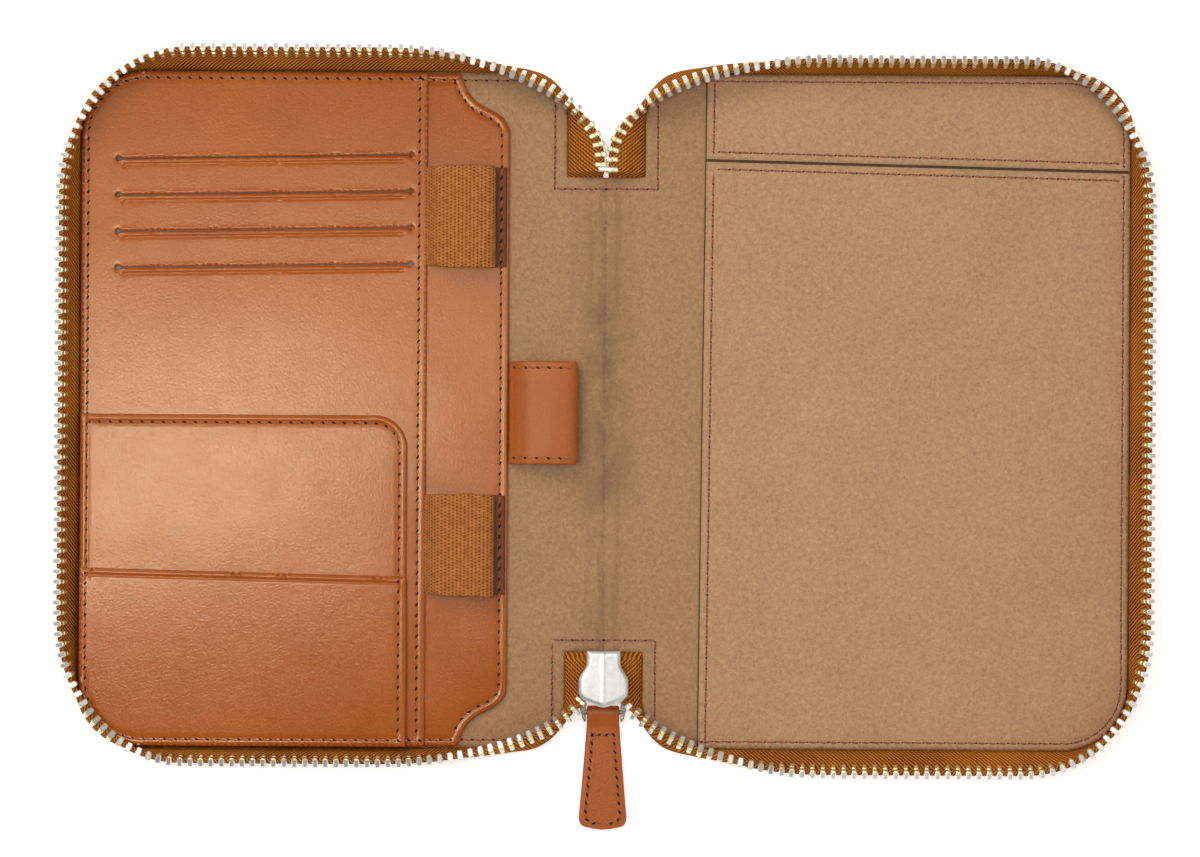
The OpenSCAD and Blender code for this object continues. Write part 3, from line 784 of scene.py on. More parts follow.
obj = left_panel("slip_pocket_front_leather", [front_loop], REAR_TOP - 0.12, front_height, round_r=0.4)
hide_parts("slip_pocket_front")

# ---- notebook pocket, right cover
NOTE_EDGE, NOTE_TILT = 30.0, math.tan(math.radians(0.5))
SLIT_MID_Y, SLIT_HALF = 75.6, 0.42
slit_mid_x = (NOTE_EDGE + EDGE_X) / 2


def note_edge(y):
    """The inner edge of the panel and of the band above it."""
    return NOTE_EDGE + y * NOTE_TILT


def slit_line(x, above):
    """The slit's upper edge (above=1), its middle (0) or its lower edge (-1)."""
    return SLIT_MID_Y + above * SLIT_HALF - (x - slit_mid_x) * SLOPE


def slit_corner(above):
    y = slit_line(NOTE_EDGE, above)
    return [[note_edge(y), y]]


def suede_panel_height(x, y, d):
    z = NOTE_TOP - 0.05 + 0.13 * waves(x, y, 48, 12)
    return edge_profile(z, d, rim=0.06, groove=0.14)


panel_loop = join([[side_x, slit_line(side_x, -1)]], foot, [[note_edge(-y_edge), -y_edge]], slit_corner(-1))
band_loop = join([[note_edge(y_edge), y_edge]], head, [[side_x, slit_line(side_x, 1)]], slit_corner(1))
for name, loop, node, flat in (
        ("notebook_pocket_suede", panel_loop, "notebook_pocket_panel", (0.131, 0.180)),
        ("notebook_band_suede", band_loop, "notebook_pocket_band", (0.130, 0.030))):
    v, f = slab([loop], LINING_TOP - 0.1, suede_panel_height)
    obj = on_body(put(name, v, f, SUEDE), "right_cover")
    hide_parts(node)

xs = np.linspace(note_edge(SLIT_MID_Y) + 0.5, side_x - 0.6, 60)
ys = np.linspace(-y_edge + 0.8, y_edge - 0.8, 60)
# Two thin dark strips of painted shade: one in the slit above the notebook pocket, one as the shadow beside the
# pocket panel's inner edge.
for name, path, thick, wide, across in (
        ("notebook_slit_shade", [xs, slit_line(xs, 0), xs * 0 + LINING_TOP + 0.3], 0.2, 0.95, (0, 1, 0)),
        ("notebook_cut_edge", [note_edge(ys) - 0.1, ys, ys * 0 + LINING_TOP + 0.22], 0.3, 0.5, (1, 0, 0))):
    v, f, uv = sweep(np.stack(path, 1), thick, lambda k: wide, across)
    on_body(put(name, v, f, SHADE, uv), "right_cover")

# ---- surface heights, for what lies on top
def top_of(names, sign=1):
    """Gives height(x, y) of the highest surface of these objects. sign=-1 for x drawn at +X on the left."""
    verts, faces = [], []
    for name in names:
        mesh = bpy.data.objects[name].data
        at = len(verts)
        verts += [v.co / MM for v in mesh.vertices]
        faces += [[at + i for i in p.vertices] for p in mesh.polygons]
    tree = BVHTree.FromPolygons(verts, faces)

    def height(x, y):
        x, y = np.broadcast_arrays(np.asarray(x, float), np.asarray(y, float))
        out = []
        for a, b in zip(x.ravel(), y.ravel()):
            hit = tree.ray_cast(Vector((sign * a, b, 60.0)), Vector((0, 0, -1)))[0]
            out.append(hit.z if hit else LINING_TOP)
        return np.array(out).reshape(x.shape)

    return height


# ---- elastic loops
z0 = STRIP_TOP
loop_path = join(
    bezier((-55.4, z0 + 0.5), (-53.6, z0 + 0.7), (-52.8, z0 + 4.6), (-48.6, z0 + 5.4), 12),
    bezier((-48.6, z0 + 5.4), (-44.5, z0 + 6.1), (-40.5, z0 + 6.2), (-37.2, z0 + 5.9), 12),
    bezier((-37.2, z0 + 5.9), (-33.2, z0 + 5.6), (-33.2, z0 + 0.7), (-37.0, z0 + 0.62), 12),
    bezier((-37.0, z0 + 0.62), (-42, z0 + 0.55), (-48, z0 + 0.5), (-54.0, z0 + 0.5), 8))
loop_s = lengths(loop_path)
LOOP_BULGE, LOOP_RUN = 1.1, 34  # how much wider the band is halfway up and over
tail = resample(np.array([[-37.5, z0 + 0.2], [-33, z0 + 0.22], [-30.9, z0 + 0.05], [-30.5, z0 - 0.15]]), 0.6)


def loop_width(k):
    return wide - 0.9 + LOOP_BULGE * math.sin(math.pi * min(1, loop_s[k] / LOOP_RUN))


for name, node in (("elastic_upper_webbing", "elastic_loop_upper"), ("elastic_lower_webbing", "elastic_loop_lower")):
    low, high = node_box(node)
    y0, wide = (low[1] + high[1]) / 2, high[1] - low[1]
    v, f, uv = sweep(in_xz(loop_path), 0.9, loop_width, (0, 1, 0), y0, n_flat=21)
    v[:, 1] += 0.25 * waves(v[:, 0], v[:, 1] * 0, 9, 31)
    obj = on_body(put(name, v, f, ELASTIC, uv), "left_cover")
    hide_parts(node)
    # The sewn tail is a real piece of the loop; its dark colour is painted shade from the loop above it.
    v, f, uv = sweep(in_xz(tail), 0.5, lambda k: wide - 0.4, (0, 1, 0), y0, n_flat=15)
    v[:, 2] += 0.07 * waves(v[:, 0], v[:, 1], 5, 33)
    tail_name = name.replace("webbing", "sewn_tail")
    obj = on_body(put(tail_name, v, f, TAN_IN_SHADE, uv[:, ::-1]), "left_cover")

# ---- stitching
PITCH = 3.25


def tube_template(length, radius, rings=7, sides=6, dip=0.34):
    """One stitch: a bent bead of thread whose ends dive into the leather."""
    c, sn = unit_circle(sides)
    out = []
    for t in np.arange(rings) / (rings - 1):
        z = -dip + (dip + 0.08) * math.sin(math.pi * t) ** 0.6
        r = radius * (0.72 + 0.28 * math.sin(math.pi * t))
        y = 0.10 * math.sin(2 * math.pi * t)
        out.append(np.stack([np.full(sides, (t - 0.5) * length), y + r * c, z + r * sn], 1))
    return skin(out)


def hole_template(length, width):
    """A needle hole: a flat-ended oval, narrower below."""
    c, sn = unit_circle(12)
    rim = np.stack([length / 2 * c * np.abs(c) ** 0.3, width / 2 * sn, np.zeros(12)], 1)
    return skin([rim * [0.8, 0.8, 1] - [0, 0, 0.25], rim])


def stitch_frames(path, height, mirrored, pitch, lift, slant, offset):
    """A frame every pitch along the path, on the surface, turned by slant."""
    path = np.array(path, float)
    s = lengths(path)
    count = max(1, int(round(s[-1] / pitch)))
    at = (np.arange(count) + offset) * s[-1] / count
    p, q, r = (np.stack([np.interp(at + d, s, path[:, k]) for k in (0, 1)], 1) for d in (0, 0.4, -0.4))
    ahead = unit(q - r)
    z, za, zb = (height(e[:, 0], e[:, 1]) for e in (p, q, r))
    z = np.maximum(z, np.minimum(za, zb)) + lift
    c, sn = math.cos(slant), math.sin(slant)
    frames = []
    for i, (tx, ty) in enumerate(ahead):
        x = np.array([tx * c - ty * sn, tx * sn + ty * c, 0])
        y = np.array([-x[1], x[0], 0])
        o = np.array([*p[i], z[i]])
        if mirrored:
            o, x, y = o * [-1, 1, 1], x * [1, -1, 1] * -1, y * [-1, 1, 1] * -1
        frames.append((o, x, y, np.array([0, 0, 1.0])))
    return frames


stitch_sets = {}


def stitch(group, path, height, mirrored, pitch=PITCH, slant=0.16):
    s = stitch_sets.setdefault(group, {"thread": [], "hole": []})
    s["thread"] += stitch_frames(path, height, mirrored, pitch, 0.02, slant * 0.5, 0.5)
    s["hole"] += stitch_frames(path, height, mirrored, pitch, 0.045, slant * 3.2, 0.0)


def inset_path(loop, d, keep):
    """The line d inside a closed outline, kept where keep(points) is true, as one open run."""
    p = resample(np.array(loop, float), 1.0, closed=True)
    n = left_of(tangents(np.concatenate([p[-1:], p, p[:1]]))[1:-1])
    if not inside((p + n * d)[len(p) // 2][None], [loop])[0]:
        n = -n
    q = p + n * d
    ok = (distance_to(q, segments_of(loop)) > d * 0.97) & keep(q)
    start = int(np.argmin(ok)) if not ok.all() else 0
    return np.roll(q, -start, 0)[np.roll(ok, -start)]


left_top = top_of(["suede_lining_left", "pen_strip_leather", "card_panel_leather", "slip_pocket_rear_leather",
                   "slip_pocket_front_leather", "elastic_upper_sewn_tail", "elastic_lower_sewn_tail"], -1)
lining_top = top_of(["suede_lining_left", "suede_lining_right"])
right_top = top_of(["suede_lining_right", "notebook_pocket_suede", "notebook_band_suede"])
round_path = inset_path(half_outline(-0.1), 2.2, lambda q: (q[:, 0] > 16) & (np.abs(q[:, 1]) > 70) | (q[:, 0] > 100))
stitch("left_leather", round_path, left_top, True)
stitch("right_suede", round_path, right_top, False)
for end, floor in ((1, FLOOR_TOP), (-1, FLOOR_BOTTOM)):
    x_n, y_n = FOLD + 3.8, floor - 3.6
    for side, tag in ((LEFT, "left"), (RIGHT, "right")):
        half = np.array([[0, y_n], [x_n, y_n], [x_n, 99.8]]) * [1, end]
        stitch(f"{tag}_suede", resample(half, 1.0), lining_top, side == LEFT)
stitch("left_leather", [[CARD_EDGE + 2.5, 101.6], [CARD_EDGE + 2.5, -101.6]], left_top, True)
strip_line = resample(join(shoulder[::-1], shoulder * [1, -1]), 1.0)
strip_line = strip_line + left_of(tangents(strip_line)) * 2.4
strip_line = strip_line[np.abs(strip_line[:, 1]) < 100.5]
stitch("left_leather", strip_line, left_top, True)
rear_line = join([[side_x - 2.6, REAR_Y - 2.4]], [[POCKET_EDGE + REAR_R, REAR_Y - 2.4]],
                 arc(*rear_centre, REAR_R - 2.4, REAR_R - 2.4, 90, 180, 10),
                 [[POCKET_EDGE + 2.4, -101.4]])
stitch("left_leather", rear_line, left_top, True)
for run in (np.linspace(-101.5, 73, 60), np.linspace(79.5, 101.5, 12)):
    stitch("right_suede", [[note_edge(y) + 2.2, y] for y in run], right_top, False)
xs = np.linspace(34.5, side_x - 2.6, 60)
for above in (-1, 1):
    stitch("right_suede", np.stack([xs, slit_line(xs, above) + above * 2.2], 1), right_top, False)

# ---- zip
TOP_LEAN, SIDE_LEAN = 4.8, 5.0  # how far the teeth stand outside the lining's edge
NOTCH_Y, NOTCH_CURVE_Y, NOTCH_R = 72.0, 77.0, 66.0
CORNER_RX, CORNER_RY = 40.0, 46.0
TOOTH_PITCH, TAPE_T = 3.17, 0.8
CHAIN_Z, END_Z = 10.8, 6.4  # the teeth's height round the covers, and at the spine
START, END_GAP = 1.7, 5.2  # where the first tooth sits, and what stays free at the other end
SHIFT = {LEFT: 1.1, RIGHT: -1.3}  # the two halves lie a little askew
CORNER_BOW = {True: 1.6, False: 0.9}  # below and above the middle
NOTCH_BULGE = {LEFT: 1.8, RIGHT: 2.4}
chain = join([[1.5, NOTCH_Y]], arc(67.5, NOTCH_CURVE_Y, NOTCH_R, EDGE_Y + TOP_LEAN - NOTCH_CURVE_Y, 180, 90, 25),
             arc(EDGE_X + SIDE_LEAN - CORNER_RX, EDGE_Y + TOP_LEAN - CORNER_RY, CORNER_RX, CORNER_RY, 90, 0, 25))
chain = join(chain, chain[::-1] * [1, -1])
seam = join([[FOLD, NOTCH_Y]], arc(FOLD + R_IN, EDGE_Y - R_IN, R_IN, R_IN, 180, 90, 25),
            arc(EDGE_X - R_OUT, EDGE_Y - R_OUT, R_OUT, R_OUT, 90, 0, 25))
seam = join(seam, seam[::-1] * [1, -1])
chain_s, seam_s = lengths(chain), lengths(seam)
CHAIN_L = chain_s[-1]


def ease(value, start, run):
    return float(smooth((value - start) / run))


def along(path, table, s):
    """The point at s, carried on straight beyond both ends."""
    over = min(s, 0) + max(0, s - table[-1])
    point = np.array([np.interp(s, table, path[:, 0]), np.interp(s, table, path[:, 1])])
    return point + [0, over]


def direction(path, table, s):
    d = along(path, table, s + 1.2) - along(path, table, s - 1.2)
    return d / np.linalg.norm(d)


def end_factor(s):
    """0 under the spine's lining, rising to 1 just past the notch's floor."""
    return ease(s, -0.1, 1.5) if s < CHAIN_L / 2 else ease(CHAIN_L - s, 2.2, 2.2)


def station(s, side):
    """The tape's section at s along the chain: points from the sewn flange up to the toothed edge."""
    far = min(s, CHAIN_L - s)
    c = along(chain, chain_s, s)
    c[1] += SHIFT[side] * ease(far, 16, 60)
    t = direction(chain, chain_s, s)
    bend = abs(2 * t[0] * t[1]) ** 1.5 * ease(c[0], 95, 20)
    c += np.array([-t[1], t[0]]) * bend * CORNER_BOW[bool(c[1] < 0)]
    k = s * seam_s[-1] / CHAIN_L
    p = along(seam, seam_s, k)
    st = direction(seam, seam_s, k)
    n = np.array([-st[1], st[0]])
    zc = END_Z + (CHAIN_Z - END_Z) * ease(far, 19, 14)
    wall, lean = 0.6, 0.55  # the tape rises straight at the wall, then leans out towards the teeth
    off = wall + (float((c - p) @ n) - wall) * lean
    if far > 100:
        off = max(wall, off)
    off += NOTCH_BULGE[side] * float(smooth((far - 22) / 12) * smooth((82 - far) / 30))
    z0 = LINING_TOP + 0.4
    zb = z0 + (zc - z0) * (lean + 0.35 * (1 - ease(far, 20, 14)))
    low = SHELL_TOP + TAPE_T / 2
    pts = np.array([
        [*(p - n * 3.8), low], [*(p + n * 0.3), low], [*(p + n * wall), LINING_LOW + 0.4],
        [*(p + n * wall), z0], [*(p + n * off), zb], [*c, zc]])
    pts[:, 2] = low + (pts[:, 2] - low) * end_factor(s)
    up = pts[-1] - pts[-2]
    t3 = np.array([*t, 0])
    up = up - (up @ t3) * t3
    return pts, t3, up / np.linalg.norm(up)


def ribbon_ring(s, side):
    """The tape's middle line at s, smoothed, with its normals and its length from the flange."""
    pts, t3, _ = station(s, side)
    fine = [a + (b - a) * k / m for a, b, m in zip(pts[:-1], pts[1:], (2, 2, 2, 5, 6)) for k in range(m)]
    fine = np.array([*fine, pts[-1]])
    for _ in range(2):
        fine[1:-1] = (fine[:-2] + 2 * fine[1:-1] + fine[2:]) / 4
    return fine, unit(np.cross(np.gradient(fine, axis=0), t3)), lengths(fine)


def tape_mesh(side):
    steps = np.concatenate([[-3.5, -2, -0.8], np.linspace(-0.2, 6, 14), np.linspace(6.8, 40, 40),
                            np.linspace(41, CHAIN_L - 41, 230), np.linspace(CHAIN_L - 40, CHAIN_L, 50)])
    verts, uv, faces = [], [], []
    for s in steps:
        fine, nrm, u = ribbon_ring(float(s), side)
        ripple = 0.22 * math.sin(2 * math.pi * s / TOOTH_PITCH) * smooth((u - u[-1] + 4) / 4)
        mid = fine + nrm * ripple[:, None]
        ring = np.concatenate([mid + nrm * TAPE_T / 2, (mid - nrm * TAPE_T / 2)[::-1]])
        verts.append(ring)
        uv.append(np.stack([np.full(len(ring), s), np.concatenate([u, u[::-1]])], 1))
    m, last = len(verts[0]), len(steps) - 1
    for at in range(0, last * m, m):
        for j in range(m):
            i = (j + 1) % m
            faces.append((at + j, at + m + j, at + m + i, at + i))
    faces.append(tuple(range(m)))
    faces.append(tuple(reversed(range(last * m, last * m + m))))
    return np.concatenate(verts), faces, np.concatenate(uv)


def tooth_template():
    """Legs that clamp the tape, and a slightly wider head with a raised nib. Returns which faces look brassy too."""
    v, f = merge(rounded_box(1.4, 2.1, 2.9, 0.3, (0, -1.0, 0)), rounded_box(1.6, 1.7, 3.0, 0.32, (0, 0.8, 0)),
                 rounded_box(1.8, 0.7, 1.5, 0.25, (0, 1.15, 0)))
    middle = np.array([np.mean([v[i] for i in face], axis=0) for face in f])
    return (v, f), (middle[:, 2] > 0.35) | ((middle[:, 1] > 0.2) & (middle[:, 2] < -1.0))


CORD_SIDES, CORD_STEP = 10, TOOTH_PITCH / 6


def cord_mesh(side, phase):
    """The corded edge of the tape, which swells out between the teeth, with its UVs."""
    c, sn = unit_circle(CORD_SIDES)
    rings = []
    for s in np.arange(-0.6, CHAIN_L - END_GAP, CORD_STEP):
        pts, t3, up = station(float(s), side)
        swell = abs(math.sin(math.pi * (s - START - phase * TOOTH_PITCH) / TOOTH_PITCH))
        r = 0.5 + 0.3 * swell
        mid = pts[-1] + up * (0.05 + 0.15 * swell)
        rings.append(mid + r * (np.outer(c, np.cross(up, t3)) * 1.15 + np.outer(sn, up) * 0.95))
    run = np.repeat(np.arange(len(rings)) * CORD_STEP, CORD_SIDES)
    turn = np.tile(np.arange(CORD_SIDES) * 0.55, len(rings))
    return *skin(rings), np.stack([run, turn], 1)


def teeth_frames(side, phase):
    """Where the teeth sit, each one turned a little at random, and thinner near the ends."""
    frames = []
    rng = np.random.default_rng(5 + side)
    s = START + phase * TOOTH_PITCH
    while s < CHAIN_L - END_GAP:
        pts, t3, up = station(s, side)
        tilt = rng.normal(0, 0.035)
        t3 = t3 * math.cos(tilt) + up * math.sin(tilt)
        up = up - (up @ t3) * t3
        up /= np.linalg.norm(up)
        thin = 0.82 + 0.18 * ease(min(s, CHAIN_L - s), 20, 6)
        frames.append((pts[-1], t3, up, thin * np.cross(t3, up)))
        s += TOOTH_PITCH
    return frames


TOOTH, BRASSY = tooth_template()
for side, tag, phase in ((LEFT, "left", 0.5), (RIGHT, "right", 0.0)):
    place = mirror_x if side == LEFT else lambda v, f: (v, f)
    v, f, uv = tape_mesh(side)
    obj = put(f"zip_tape_{tag}", *place(v, f), TAPE, uv)
    attach(obj, side)
    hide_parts(f"{tag}_zip_tape", *(["zip_end_tape_top", "zip_end_tape_bottom"] if side == RIGHT else []))
    v, f, uv = cord_mesh(side, phase)
    attach(put(f"zip_cord_{tag}", *place(v, f), TAPE, uv), side)
    frames = teeth_frames(side, phase)
    v, f = place(*scatter(TOOTH, frames))
    obj = put(f"zip_teeth_{tag}", v, f, (TEETH, TEETH_GOLD), uv=v[:, :2] + v[:, 2:], smooth_shade=False)
    obj.data.polygons.foreach_set("material_index", np.tile(BRASSY, len(frames)).astype(int))
    attach(obj, side)
    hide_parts(f"{tag}_zip_teeth", *(["zip_end_teeth_top", "zip_end_teeth_bottom"] if side == RIGHT else []))

for name in ("zip_top_stop", "zip_bottom_stop"):
    low, high = node_box(name)
    middle, size = (low + high) / 2, high - low
    v, f = rounded_box(size[0] * 0.86, size[1] * 0.9, size[2], 0.35, middle)
    obj = on_body(put(name + "_clamp", v, f, TEETH, uv=v[:, :2], smooth_shade=False), "spine")
    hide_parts(name)

# ---- leather pen loop
low, high = node_box("pen_loop")
pen_y, pen_w = (low[1] + high[1]) / 2, high[1] - low[1]
zb = LINING_TOP + 0.95
pen_path = join(
    bezier((-29.0, zb + 0.75), (-27.4, zb + 1.6), (-26.0, zb + 4.4), (-22.0, zb + 5.0), 12),
    bezier((-22.0, zb + 5.0), (-17.5, zb + 5.5), (-14.5, zb + 5.5), (-12.0, zb + 5.1), 12),
    bezier((-12.0, zb + 5.1), (-8.0, zb + 4.5), (-8.0, zb + 0.25), (-12.2, zb), 14),
    bezier((-12.2, zb), (-18, zb - 0.1), (-24, zb - 0.1), (-29.0, zb - 0.25), 8))
v, f, uv = sweep(in_xz(pen_path), 1.1, lambda k: pen_w, (0, 1, 0), pen_y, n_flat=17)
from_edge = pen_w / 2 - np.abs(v[:, 1] - pen_y)
rim = 0.12 * bell(from_edge - 0.9, 0.6) - 0.26 * bell(from_edge - 1.9, 0.4)
v[:, 2] += np.where(v[:, 2] > zb + 1.6, rim, 0)
obj = on_body(put("pen_loop_leather", v, f, TAN_STRAP, v[:, :2] + [40, 7]), "pen_loop")
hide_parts("pen_loop")
pen_top = top_of(["pen_loop_leather"], -1)
for end in (-1, 1):
    y = pen_y + end * (pen_w / 2 - 1.9)
    stitch("pen_loop", [[x, y] for x in np.linspace(27.6, 10.2, 40)], pen_top, True)

# ---- slider
low, high = node_box("slider_body")
TAIL_Y, SLIDER_TOP = high[1], high[2]
half_w = (high[0] - low[0]) / 2
shape = join(
    arc(4.7, -0.5, 0.5, 0.5, 90, 0, 5), [[5.2, -3.2]],
    bezier((5.2, -3.2), (5.2, -5.9), (7.0, -6.6), (half_w, -9.0), 14), [[half_w, -12.4]],
    bezier((half_w, -12.4), (half_w, -14.4), (6.3, -15.2), (4.2, -16.0), 12),
    bezier((4.2, -16.0), (2.6, -16.6), (1.2, -17.35), (0, -17.4), 8))
shape = join(shape, (shape * [-1, 1])[::-1]) + [0, TAIL_Y]
shape = shape[:-1] if np.allclose(shape[0], shape[-1]) else shape


def inner_plate_height(x, y, d):
    """Rounded off at the rim, with a low ridge down the middle."""
    z = SLIDER_TOP + 0.05 - 0.55 * (1 - smooth(d / 1.5)) ** 2
    ridge = 0.16 * bell(x, 0.32) + 0.5 * np.clip(1 - np.abs(x) / 7, 0, 1) * 0.2
    return z + ridge * smooth(d / 1.0)


PLATE_RINGS = (0.15, 0.4, 0.75, 1.15, 1.6)
ridge_pts = np.array([(x, TAIL_Y - y) for x in (-0.6, -0.3, 0, 0.3, 0.6) for y in np.arange(0.6, 17.2, 0.6)])
plate = slab([shape], SLIDER_TOP - 1.2, inner_plate_height, grid=1.0, step=0.5, rings=PLATE_RINGS, round_r=0.25,
             extra=ridge_pts, under_round=0.2)
outer_plate = slab([shape[shape[:, 1] < TAIL_Y - 3.5]], 3.7, flat_at(4.75), grid=1.6, step=0.8, rings=PLATE_RINGS,
                   round_r=0.2, under_round=0.4)


def column(cx, cy, r, z0, z1, n=20):
    """A round post that widens at both ends."""
    c, sn = unit_circle(n)
    return skin([np.stack([cx + rr * c, cy + rr * sn, np.full(n, z)], 1)
                 for rr, z in ((r * 1.25, z0), (r, z0 + 0.5), (r, z1 - 0.5), (r * 1.25, z1))])


PIVOT_Y, PIVOT_Z, WIRE_R = -86.9, 2.2, 0.8
LUG_R, LUG_HOLE_R, LUG_HALF = 1.7, 0.85, 1.6


def lug():
    """The pierced lug under the outer plate, that carries the link."""
    outer = [(LUG_R * math.cos(t), LUG_R * math.sin(t)) for t in np.linspace(-math.pi, 0, 13)]
    outer += [(1.75, 0.6), (2.2, 1.6), (-2.2, 1.6), (-1.75, 0.6)]
    hole = [(LUG_HOLE_R * math.cos(t), LUG_HOLE_R * math.sin(t)) for t in np.linspace(-math.pi, math.pi, 17)[:-1]]
    rings = [np.array([(x, PIVOT_Y + y * (1 - inset * 0.4), PIVOT_Z + z * (1 - inset * 0.3)) for y, z in outer])
             for x, inset in ((-LUG_HALF, 0.2), (-1.35, 0.0), (1.35, 0.0), (LUG_HALF, 0.2))]
    verts, faces = skin(rings)
    faces = faces[:-2]
    base = len(verts)
    n, h = len(outer), len(hole)
    inner = np.array([(x, PIVOT_Y + y, PIVOT_Z + z) for x in (-LUG_HALF, LUG_HALF) for y, z in hole])
    for j in range(h):
        i = (j + 1) % h
        faces.append((base + j, base + h + j, base + h + i, base + i))
    both = np.array(outer + hole)
    edges = [(i, (i + 1) % n) for i in range(n)] + [(n + i, n + (i + 1) % h) for i in range(h)]
    out = delaunay_2d_cdt([Vector(p) for p in both], edges, [], 0, 1e-5, True)
    for end, at in ((0, 0), (1, (len(rings) - 1) * n)):
        for t in out[2]:
            ids = [out[3][i][0] for i in t]
            c = both[ids].mean(0)
            if inside(c[None], [np.array(outer)])[0] and np.linalg.norm(c) > LUG_HOLE_R * 0.98:
                tri = tuple(at + i if i < n else base + end * h + i - n for i in ids)
                faces.append(tri if end else tuple(reversed(tri)))
    return np.concatenate([verts, inner]), faces


def sharp_edges(obj):
    crease = obj.modifiers.new("edges", "EDGE_SPLIT")
    crease.split_angle = math.radians(38)


v, f = merge(plate, outer_plate, column(0, -88.3, 1.15, 4.6, 8.2), lug())
obj = on_body(put("slider_metal_body", v, f, SLIDER), "slider")
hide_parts("slider_body")
sharp_edges(obj)

# ---- link and pull tab
BAR_Y = -92.5


def wire(y, r=WIRE_R, n=16):
    """A round bar across the link at y, with bevelled ends."""
    p, q, t = np.array([-6.4, y, PIVOT_Z]), np.array([6.4, y, PIVOT_Z]), np.array([1.0, 0, 0])
    a = np.cross(t, [0, 0, 1.0])
    b = np.cross(t, a)
    c, sn = unit_circle(n)
    circle = np.outer(c, a) + np.outer(sn, b)
    return skin([p + circle * r * 0.7, p + t * 0.2 + circle * r, q - t * 0.2 + circle * r, q + circle * r * 0.7])


# The flat side plate of the link, which narrows towards the tab.
CHEEK = ((5.35, -86.1), (6.9, -86.1), (7.45, -87.0), (7.45, -90.4), (6.3, -94.6), (5.7, -95.6), (5.35, -95.2))
cheek = slab([CHEEK], PIVOT_Z - 0.6, flat_at(PIVOT_Z + 0.6), grid=1.5, step=0.6, rings=(0.2, 0.5), round_r=0.25,
             under_round=0.25)
v, f = merge(mirror_x(*cheek), cheek, wire(PIVOT_Y), wire(BAR_Y))
obj = on_body(put("pull_link_metal", v, f, LINK), "pull_link")
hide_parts("pull_link")
sharp_edges(obj)

low, high = node_box("pull_tab")
TAB_END = low[1]
TAB_T, TAB_GAP, TAB_NECK, TAB_CORNER = 1.2, 0.62, 5.0, 2.4
tab_half = (high[0] - low[0]) / 2
loop_r = WIRE_R + 0.05 + TAB_T / 2
low_z = PIVOT_Z - TAB_GAP
straight = np.concatenate([TAB_END + np.array([0.02, 0.1, 0.25, 0.5, 0.8, 1.2, 1.7, 2.3, 3.0]),
                           np.linspace(TAB_END + 3.8, BAR_Y - 5.0, 34)])
lower = join(np.stack([straight, np.full(len(straight), low_z)], 1),
             bezier((BAR_Y - 5.0, low_z), (BAR_Y - 3.2, low_z), (BAR_Y - 2.4, PIVOT_Z - loop_r),
                    (BAR_Y, PIVOT_Z - loop_r), 8))
yz = join(lower, arc(BAR_Y, PIVOT_Z, loop_r, loop_r, -90, 90, 13), (lower * [1, -1] + [0, 2 * PIVOT_Z])[::-1])
tab_path = np.stack([np.zeros(len(yz)), yz[:, 0], yz[:, 1]], 1)


def tab_width(y):
    """Half the tab's width at y: a slow flare, rounded corners and a slightly bowed free end."""
    widest = BAR_Y - 3
    flare = TAB_NECK + (tab_half - TAB_NECK) * np.clip((widest - y) / (widest - TAB_END - 4), 0, 1) ** 1.1
    near = y - TAB_END
    return (flare - TAB_CORNER) * quarter_round(near / 1.25) + TAB_CORNER * quarter_round((near - 0.55) / 3.0)


v, f, uv = sweep(tab_path, TAB_T, lambda k: 2 * float(tab_width(tab_path[k][1])), (1, 0, 0), n_flat=11)
obj = on_body(put("pull_tab_leather", v, f, TAN_OUT, uv[:, ::-1] + [7, 3]), "pull_tab")
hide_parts("pull_tab")
tab_top = top_of(["pull_tab_leather"])
TAB_HEAD = -99.4
ys = np.linspace(TAB_HEAD, TAB_END + 2.2, 30)[:-2]
side_line = np.stack([tab_width(ys) - 2.0, ys], 1)
for side in (1, -1):
    line = join(side_line, [[side_line[-1][0] - 1.2, TAB_END + 2.0]], [[0, TAB_END + 1.9]]) * [side, 1]
    stitch("pull_tab", resample(line, 0.5), tab_top, False, pitch=2.7)
half_head = tab_width(TAB_HEAD) - 2.0
stitch("pull_tab", [[-half_head, TAB_HEAD], [half_head, TAB_HEAD]], tab_top, False, pitch=2.2)

# ---- stitches become meshes
THREAD_SHAPE = tube_template(2.5, 0.27)
HOLE_SHAPE = hole_template(1.45, 0.7)
RED_SHAPE = tube_template(2.5, 0.33)
RED_HOLE = hole_template(0.95, 0.45)
where = {
    "left_leather": ("left_cover", THREAD, THREAD_SHAPE, HOLE_SHAPE, "tan_leather"),
    "left_suede": (LEFT, THREAD_RED, RED_SHAPE, RED_HOLE, "suede"),
    "right_suede": (RIGHT, THREAD_RED, RED_SHAPE, RED_HOLE, "suede"),
    "pen_loop": ("pen_loop", THREAD, THREAD_SHAPE, HOLE_SHAPE, "tan_leather"),
    "pull_tab": ("pull_tab", THREAD, tube_template(1.9, 0.26), HOLE_SHAPE, "tan_leather"),
}
for group, (target, mat, thread_shape, hole_shape, slot) in where.items():
    for kind, shape_mesh, material in (("thread", thread_shape, mat), ("hole", hole_shape, HOLE)):
        v, f = scatter(shape_mesh, stitch_sets[group][kind])
        obj = put(f"stitch_{kind}_{group}", v, f, material)
        if isinstance(target, str):
            on_body(obj, target)
        else:
            attach(obj, target)

# ---- CAD nodes that keep their shape
keeps_shape = {"right_board": BOARD, "left_board": BOARD, "spine_interlining": LINER}
keeps_shape.update({f"card_pocket_liner_{i}": LINER for i in range(1, 5)})
for name, material in keeps_shape.items():
    mesh = frame["nodes"][name].data
    mesh.materials.clear()
    mesh.materials.append(material)

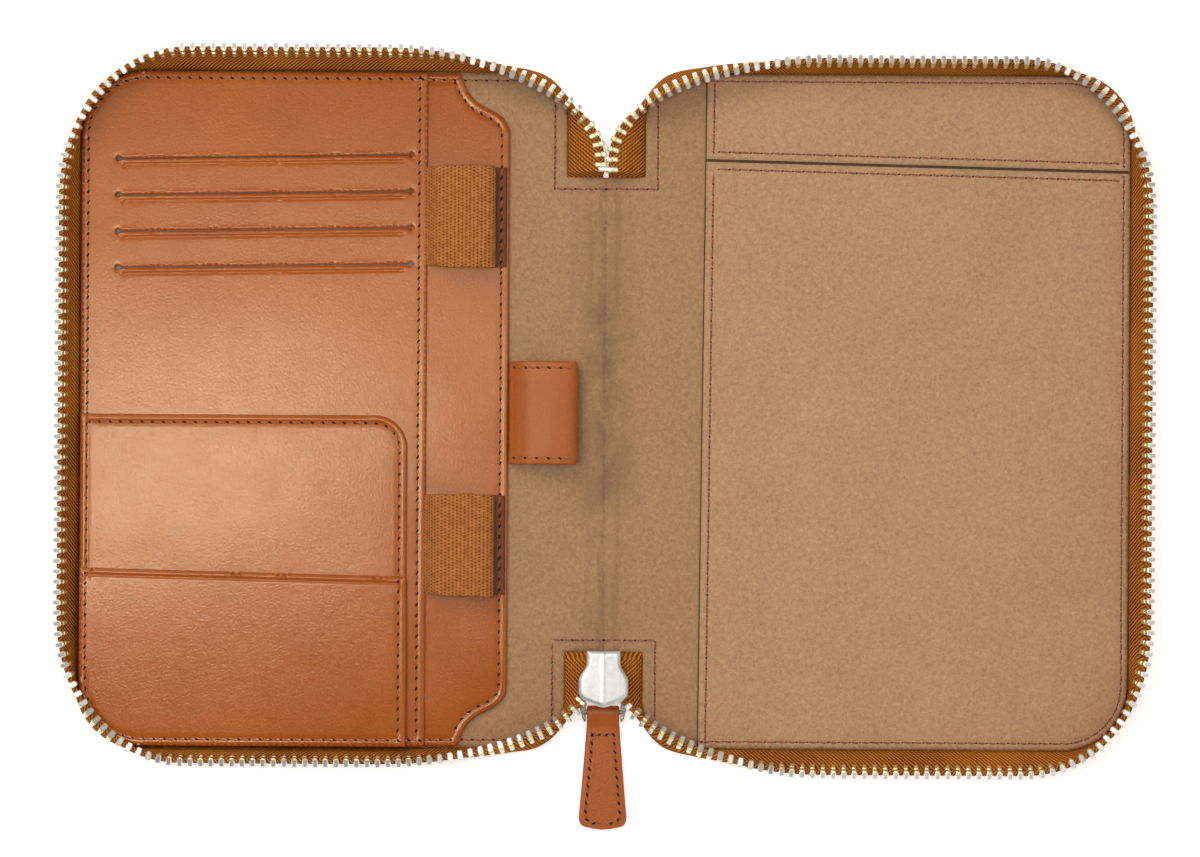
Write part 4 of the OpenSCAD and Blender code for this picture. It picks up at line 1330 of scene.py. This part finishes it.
# ---- floor, light and camera
paper = Nodes("floor_paper", 0.9, specular=0.1)
paper.bsdf.inputs["Emission Color"].default_value = (1, 1, 1, 1)
paper.bsdf.inputs["Emission Strength"].default_value = 0.55
FLOOR = 3000
floor = put("floor", [(-FLOOR, -FLOOR, 0), (FLOOR, -FLOOR, 0), (FLOOR, FLOOR, 0), (-FLOOR, FLOOR, 0)],
            [(0, 1, 2, 3)], paper.finish((0.86, 0.86, 0.86)))


def area_light(name, location, target, size, energy, color=(1, 1, 1)):
    data = bpy.data.lights.new(name, "AREA")
    data.shape = "RECTANGLE"
    data.size, data.size_y = size
    data.energy = energy
    data.color = color
    obj = bpy.data.objects.new(name, data)
    bpy.context.scene.collection.objects.link(obj)
    obj.location = location
    obj.rotation_euler = (Vector(target) - Vector(location)).to_track_quat("-Z", "Y").to_euler()
    obj.visible_camera = False
    return obj


area_light("overhead_strip", (-0.08, 0.026, 0.66), (-0.08, 0.026, 0), (1.1, 0.10), 1.1)
area_light("upper_strip", (-0.08, 0.128, 0.66), (-0.08, 0.128, 0), (1.1, 0.10), 0.5)
area_light("left_window", (-0.238, -0.04, 0.66), (-0.15, -0.026, 0), (0.08, 0.26), 0.75)
area_light("key", (-0.75, 0.95, 1.1), (0, 0, 0), (0.7, 0.7), 9.7)
area_light("fill", (0.9, -0.7, 1.2), (0, 0, 0), (1.4, 1.4), 4.8)
area_light("metal_card", (0.0, -0.13, 0.66), (0.0, -0.08, 0), (0.26, 0.10), 0.02)
world = bpy.data.worlds.new("studio")
bpy.context.scene.world = world
world.use_nodes = True
wt = world.node_tree
coord = wt.nodes.new("ShaderNodeTexCoord")
split = wt.nodes.new("ShaderNodeSeparateXYZ")
wt.links.new(coord.outputs["Generated"], split.inputs[0])
walls = wt.nodes.new("ShaderNodeValToRGB")
wt.links.new(split.outputs[2], walls.inputs[0])
for element, position, grey in zip(walls.color_ramp.elements, (0.05, 0.8), (1, 0.16)):
    element.position = position
    element.color = (grey, grey, grey, 1)
wt.links.new(walls.outputs[0], wt.nodes["Background"].inputs[0])
wt.nodes["Background"].inputs[1].default_value = 0.75

cam_data = bpy.data.cameras.new("camera")
cam_data.sensor_width = 36
cam_data.lens = 117
cam_data.clip_start, cam_data.clip_end = 0.05, 10
camera = bpy.data.objects.new("camera", cam_data)
bpy.context.scene.collection.objects.link(camera)
camera.location = (-0.0015, -0.0054, 1.2)
camera.rotation_euler = (0, 0, math.radians(0.35))
bpy.context.scene.camera = camera
bpy.context.scene.view_settings.view_transform = "Standard"
